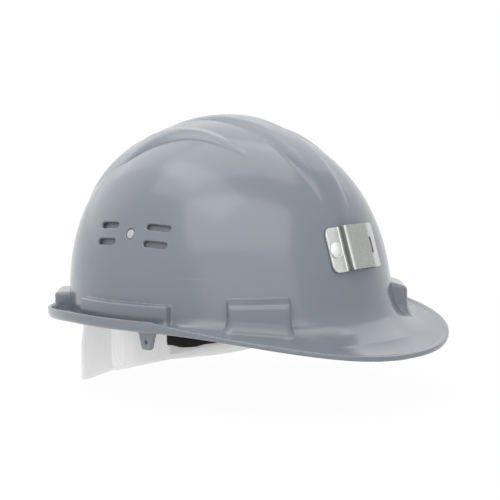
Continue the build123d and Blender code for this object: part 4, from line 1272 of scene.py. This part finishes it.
def shell_plastic():
    """Glossy moulded plastic with a faint orange peel, fine scuffs and handling marks."""
    return surface("shell_plastic", (0.204, 0.230, 0.266), 0.24,
                   [("cloud", 14, 3, {"Base Color": [(0.3, (0.200, 0.226, 0.262)), (0.7, (0.208, 0.234, 0.270))]},
                     None),
                    ("scuff", 90, 4, {"Roughness": [(0.35, 0.20), (0.70, 0.26)]}, None),
                    ("peel", 260, 2, {}, (0.03, 0.0003))], IOR=1.5, Coat_Weight=0.35, Coat_Roughness=0.12)


def bracket_steel():
    """Zinc-plated sheet steel: speckled grain over painted highlights and painted shade on its bent faces."""
    material, shader = principled("bracket_steel", (0.50, 0.52, 0.49), 0.40, Metallic=0.8)
    nodes, links = material.node_tree.nodes, material.node_tree.links
    speckle = noise(material, 2400, 3, "speckle")
    grain = ramp(material, speckle.outputs["Fac"], [(0.38, 0.80), (0.62, 1.12)])
    # Grey levels of painted light and shade, read from the strip's colour layer.
    painted_light = nodes.new("ShaderNodeVertexColor")
    painted_light.layer_name = "painted_light"
    tint = nodes.new("ShaderNodeMixRGB")
    tint.blend_type = "MULTIPLY"
    tint.inputs["Fac"].default_value = 1.0
    connect(links, (painted_light.outputs["Color"], tint.inputs["Color1"]), (grain.outputs["Color"], tint.inputs["Color2"]),
            (tint.outputs["Color"], shader.inputs["Base Color"]))
    patch = noise(material, 160, 4, "patch")
    vary(material, patch.outputs["Fac"], "Roughness", [(0.35, 0.36), (0.7, 0.50)])
    bump(material, shader, speckle.outputs["Fac"], 0.3, 0.0001)
    return material


def rivet_metal():
    """Bright aluminium with tiny dents."""
    return surface("rivet_aluminium", (0.84, 0.85, 0.85), 0.45,
                   [("dents", 700, 2, {}, (0.12, 0.0002)),
                    ("smear", 300, 4, {"Roughness": [(0.3, 0.38), (0.7, 0.52)]}, None)], Metallic=0.35)


def washer_steel():
    """Plain zinc-plated steel."""
    return surface("washer_steel", (0.56, 0.57, 0.57), 0.36,
                   [("grain", 1500, 3, {"Roughness": [(0.3, 0.30), (0.7, 0.45)]}, (0.1, 0.0001))], Metallic=1.0)


def dark_plastic(name):
    """Satin black moulded plastic with a fine sparked grain."""
    return surface(name, (0.022, 0.022, 0.024), 0.42,
                   [("grain", 1800, 2, {}, (0.25, 0.0002)),
                    ("cloud", 60, 3, {"Base Color": [(0.3, (0.018, 0.018, 0.020)), (0.75, (0.030, 0.030, 0.032))]},
                     None)])


def white_plastic():
    """Clean pale moulded plastic."""
    return surface("stud_plastic", (0.48, 0.52, 0.55), 0.3,
                   [("cloud", 200, 2, {"Base Color": [(0.3, (0.46, 0.50, 0.53)), (0.7, (0.50, 0.54, 0.57))]},
                     (0.05, 0.0003))])


def band_plastic():
    """Milky plastic that lets light through, with soft flow marks and a painted glow that makes it look more strongly
    lit.
    """
    # The emission is painted light: the plastic shines though it is no lamp.
    material, shader = principled("band_plastic", (0.90, 0.90, 0.90), 0.35, Emission_Strength=MILKY_PAINTED_GLOW)
    nodes, links = material.node_tree.nodes, material.node_tree.links
    flow = noise(material, 45, 3, "flow")
    tint = vary(material, flow.outputs["Fac"], "Base Color", [(0.3, 0.88), (0.7, 0.93)])
    fine = noise(material, 700, 2, "fine")
    bump(material, shader, fine.outputs["Fac"], 0.08, 0.0003)
    through = nodes.new("ShaderNodeBsdfTranslucent")
    links.new(tint.outputs["Color"], through.inputs["Color"])
    clear = nodes.new("ShaderNodeBsdfTransparent")
    clear.inputs["Color"].default_value = (0.95, 0.95, 0.95, 1)
    body = shader
    for other, share in ((through, MILKY_THROUGH), (clear, MILKY_CLEAR)):
        mix = nodes.new("ShaderNodeMixShader")
        mix.inputs["Fac"].default_value = share
        connect(links, (body.outputs[0], mix.inputs[1]), (other.outputs[0], mix.inputs[2]))
        body = mix
    output = next(node for node in nodes if node.type == "OUTPUT_MATERIAL")
    links.new(body.outputs[0], output.inputs["Surface"])
    return material


def webbing():
    """Black woven webbing: ribs across the strap and a fine twill, from the strap's own coordinates."""
    material, shader = principled("strap_webbing", (0.03, 0.03, 0.033), 0.85, Sheen_Weight=0.3)
    nodes, links = material.node_tree.nodes, material.node_tree.links
    where = nodes.new("ShaderNodeUVMap")
    where.uv_map = "weave"
    heights = []
    for name, direction, scale in (("ribs", "X", 420), ("warps", "Y", 300)):
        wave = nodes.new("ShaderNodeTexWave")
        wave.name = name
        wave.bands_direction = direction
        wave.inputs["Scale"].default_value = scale
        wave.inputs["Distortion"].default_value = 0.6
        links.new(where.outputs["UV"], wave.inputs["Vector"])
        heights.append(wave.outputs["Fac"])
    mix = nodes.new("ShaderNodeMath")
    mix.operation = "MULTIPLY"
    connect(links, (heights[0], mix.inputs[0]), (heights[1], mix.inputs[1]))
    bump(material, shader, mix.outputs[0], 0.8, 0.0004)
    vary(material, mix.outputs[0], "Base Color", [(0.1, (0.018, 0.018, 0.020)), (0.8, (0.045, 0.045, 0.05))])
    return material


def knit():
    """Soft black knitted cloth over foam."""
    material, shader = principled("sweatband_fabric", (0.007, 0.007, 0.008), 0.95, Sheen_Weight=0.08)
    nodes, links = material.node_tree.nodes, material.node_tree.links
    where = nodes.new("ShaderNodeTexCoord")
    cells = nodes.new("ShaderNodeTexVoronoi")
    cells.inputs["Scale"].default_value = 1100
    links.new(where.outputs["Object"], cells.inputs["Vector"])
    bump(material, shader, cells.outputs["Distance"], 0.7, 0.0004)
    fluff = noise(material, 500, 4, "fluff")
    vary(material, fluff.outputs["Fac"], "Base Color", [(0.3, (0.004, 0.004, 0.005)), (0.7, (0.010, 0.010, 0.011))])
    return material


def assign(thing, material):
    """Gives an object, or a CAD node, one material."""
    slots = thing.material_slots
    if slots:
        for slot in slots:
            slot.material = material
    else:
        thing.data.materials.append(material)


def direction(azimuth, elevation):
    """Unit vector towards an azimuth, counted from straight ahead, and an elevation, both in degrees."""
    turn, rise = math.radians(azimuth), math.radians(elevation)
    return Vector((math.sin(turn) * math.cos(rise), -math.cos(turn) * math.cos(rise), math.sin(rise)))


def make_camera():
    """Camera that frames the helmet as the photograph does."""
    roll = math.radians(CAMERA_ROLL)
    target = place(0, 0, TARGET_HEIGHT)
    back = direction(CAMERA_AZIMUTH, CAMERA_ELEVATION)
    right = Vector((0, 0, 1)).cross(back).normalized()
    upward = back.cross(right)
    turned_right = right * math.cos(roll) - upward * math.sin(roll)
    turned_up = upward * math.cos(roll) + right * math.sin(roll)
    data = bpy.data.cameras.new("camera")
    camera = bpy.data.objects.new("camera", data)
    bpy.context.scene.collection.objects.link(camera)
    rows = Matrix((turned_right, turned_up, back)).transposed()
    camera.matrix_world = Matrix.Translation(target + back * CAMERA_DISTANCE) @ rows.to_4x4()
    data.sensor_width = 36
    data.lens = CAMERA_LENS
    data.shift_x, data.shift_y = CAMERA_SHIFT
    data.clip_start = 0.05
    bpy.context.scene.camera = camera


def softbox(name, azimuth, elevation, wide, tall, level):
    """Flat panel facing the helmet: its place and size as angles in degrees, its level as a share of white."""
    data = bpy.data.lights.new(name, "AREA")
    data.shape = "RECTANGLE"
    data.size = 2 * STAGE_RADIUS * math.tan(math.radians(wide / 2))
    data.size_y = 2 * STAGE_RADIUS * math.tan(math.radians(tall / 2))
    data.energy = level * math.pi * data.size * data.size_y
    lamp = bpy.data.objects.new(name, data)
    bpy.context.scene.collection.objects.link(lamp)
    toward = direction(azimuth, elevation)
    lamp.location = place(0, 0, TARGET_HEIGHT) + toward * STAGE_RADIUS
    lamp.rotation_euler = toward.to_track_quat("Z", "Y").to_euler()


def connect(links, *pairs):
    """Links sockets, each pair from the first to the second."""
    for source, target in pairs:
        links.new(source, target)


def seen_directly(nodes, links):
    """Socket that is 1 for the camera's rays and for those that gloss and clear plastic send on."""
    path = nodes.new("ShaderNodeLightPath")
    total = path.outputs["Is Camera Ray"]
    for kind in ("Is Glossy Ray", "Is Transmission Ray"):
        either = nodes.new("ShaderNodeMath")
        either.operation = "MAXIMUM"
        connect(links, (total, either.inputs[0]), (path.outputs[kind], either.inputs[1]))
        total = either.outputs[0]
    return total


def make_floor():
    """White floor, which looks white to the camera and keeps the helmet's shadow."""
    material = bpy.data.materials.new("stage_white")
    material.use_nodes = True
    nodes, links = material.node_tree.nodes, material.node_tree.links
    nodes.clear()
    output = nodes.new("ShaderNodeOutputMaterial")
    diffuse = nodes.new("ShaderNodeBsdfDiffuse")
    diffuse.inputs["Color"].default_value = (FLOOR_COLOUR, FLOOR_COLOUR, FLOOR_COLOUR, 1)
    glow = nodes.new("ShaderNodeEmission")
    glow.inputs["Color"].default_value = (1, 1, 1, 1)
    glow.inputs["Strength"].default_value = FLOOR_WHITE
    mix = nodes.new("ShaderNodeMixShader")
    where = nodes.new("ShaderNodeNewGeometry")
    away = nodes.new("ShaderNodeVectorMath")
    away.operation = "LENGTH"
    fade = nodes.new("ShaderNodeMapRange")
    for end, value in FLOOR_FADE.items():
        fade.inputs[end].default_value = value
    share = nodes.new("ShaderNodeMath")
    share.operation = "MULTIPLY"
    connect(links, (where.outputs["Position"], away.inputs[0]), (away.outputs["Value"], fade.inputs["Value"]),
            (seen_directly(nodes, links), share.inputs[0]), (fade.outputs[0], share.inputs[1]),
            (share.outputs[0], mix.inputs["Fac"]), (diffuse.outputs[0], mix.inputs[1]),
            (glow.outputs[0], mix.inputs[2]), (mix.outputs[0], output.inputs["Surface"]))
    half = FLOOR_HALF
    corners = [(x, y, -FLOOR_DROP) for x, y in ((-half, -half), (half, -half), (half, half), (-half, half))]
    floor = new_mesh("floor", corners, [(0, 1, 2, 3)], smooth=False)
    assign(floor, material)


def make_world():
    """Weak white light all round, which looks white to the camera and in gloss."""
    world = bpy.data.worlds.new("world")
    bpy.context.scene.world = world
    world.use_nodes = True
    nodes, links = world.node_tree.nodes, world.node_tree.links
    nodes.clear()
    output = nodes.new("ShaderNodeOutputWorld")
    mix = nodes.new("ShaderNodeMixShader")
    for socket, strength in ((1, WORLD_LIGHT), (2, 1.0)):
        light = nodes.new("ShaderNodeBackground")
        light.inputs["Color"].default_value = (1, 1, 1, 1)
        light.inputs["Strength"].default_value = strength
        links.new(light.outputs[0], mix.inputs[socket])
    connect(links, (seen_directly(nodes, links), mix.inputs["Fac"]), (mix.outputs[0], output.inputs["Surface"]))


finished(make_shell(), shell_plastic(), "helmet", "shell_plastic", "shell")
make_bracket()
make_rivets()
make_clip()
make_studs()
make_straps()
make_headband()
make_nape()
make_sweatband()
make_small_parts()
dress_shutters()
make_camera()
make_floor()
make_world()
for panel, (azimuth, elevation, wide, tall, level) in SOFTBOXES.items():
    softbox(panel, azimuth, elevation, wide, tall, level)
bpy.context.scene.view_settings.view_transform = "Standard"
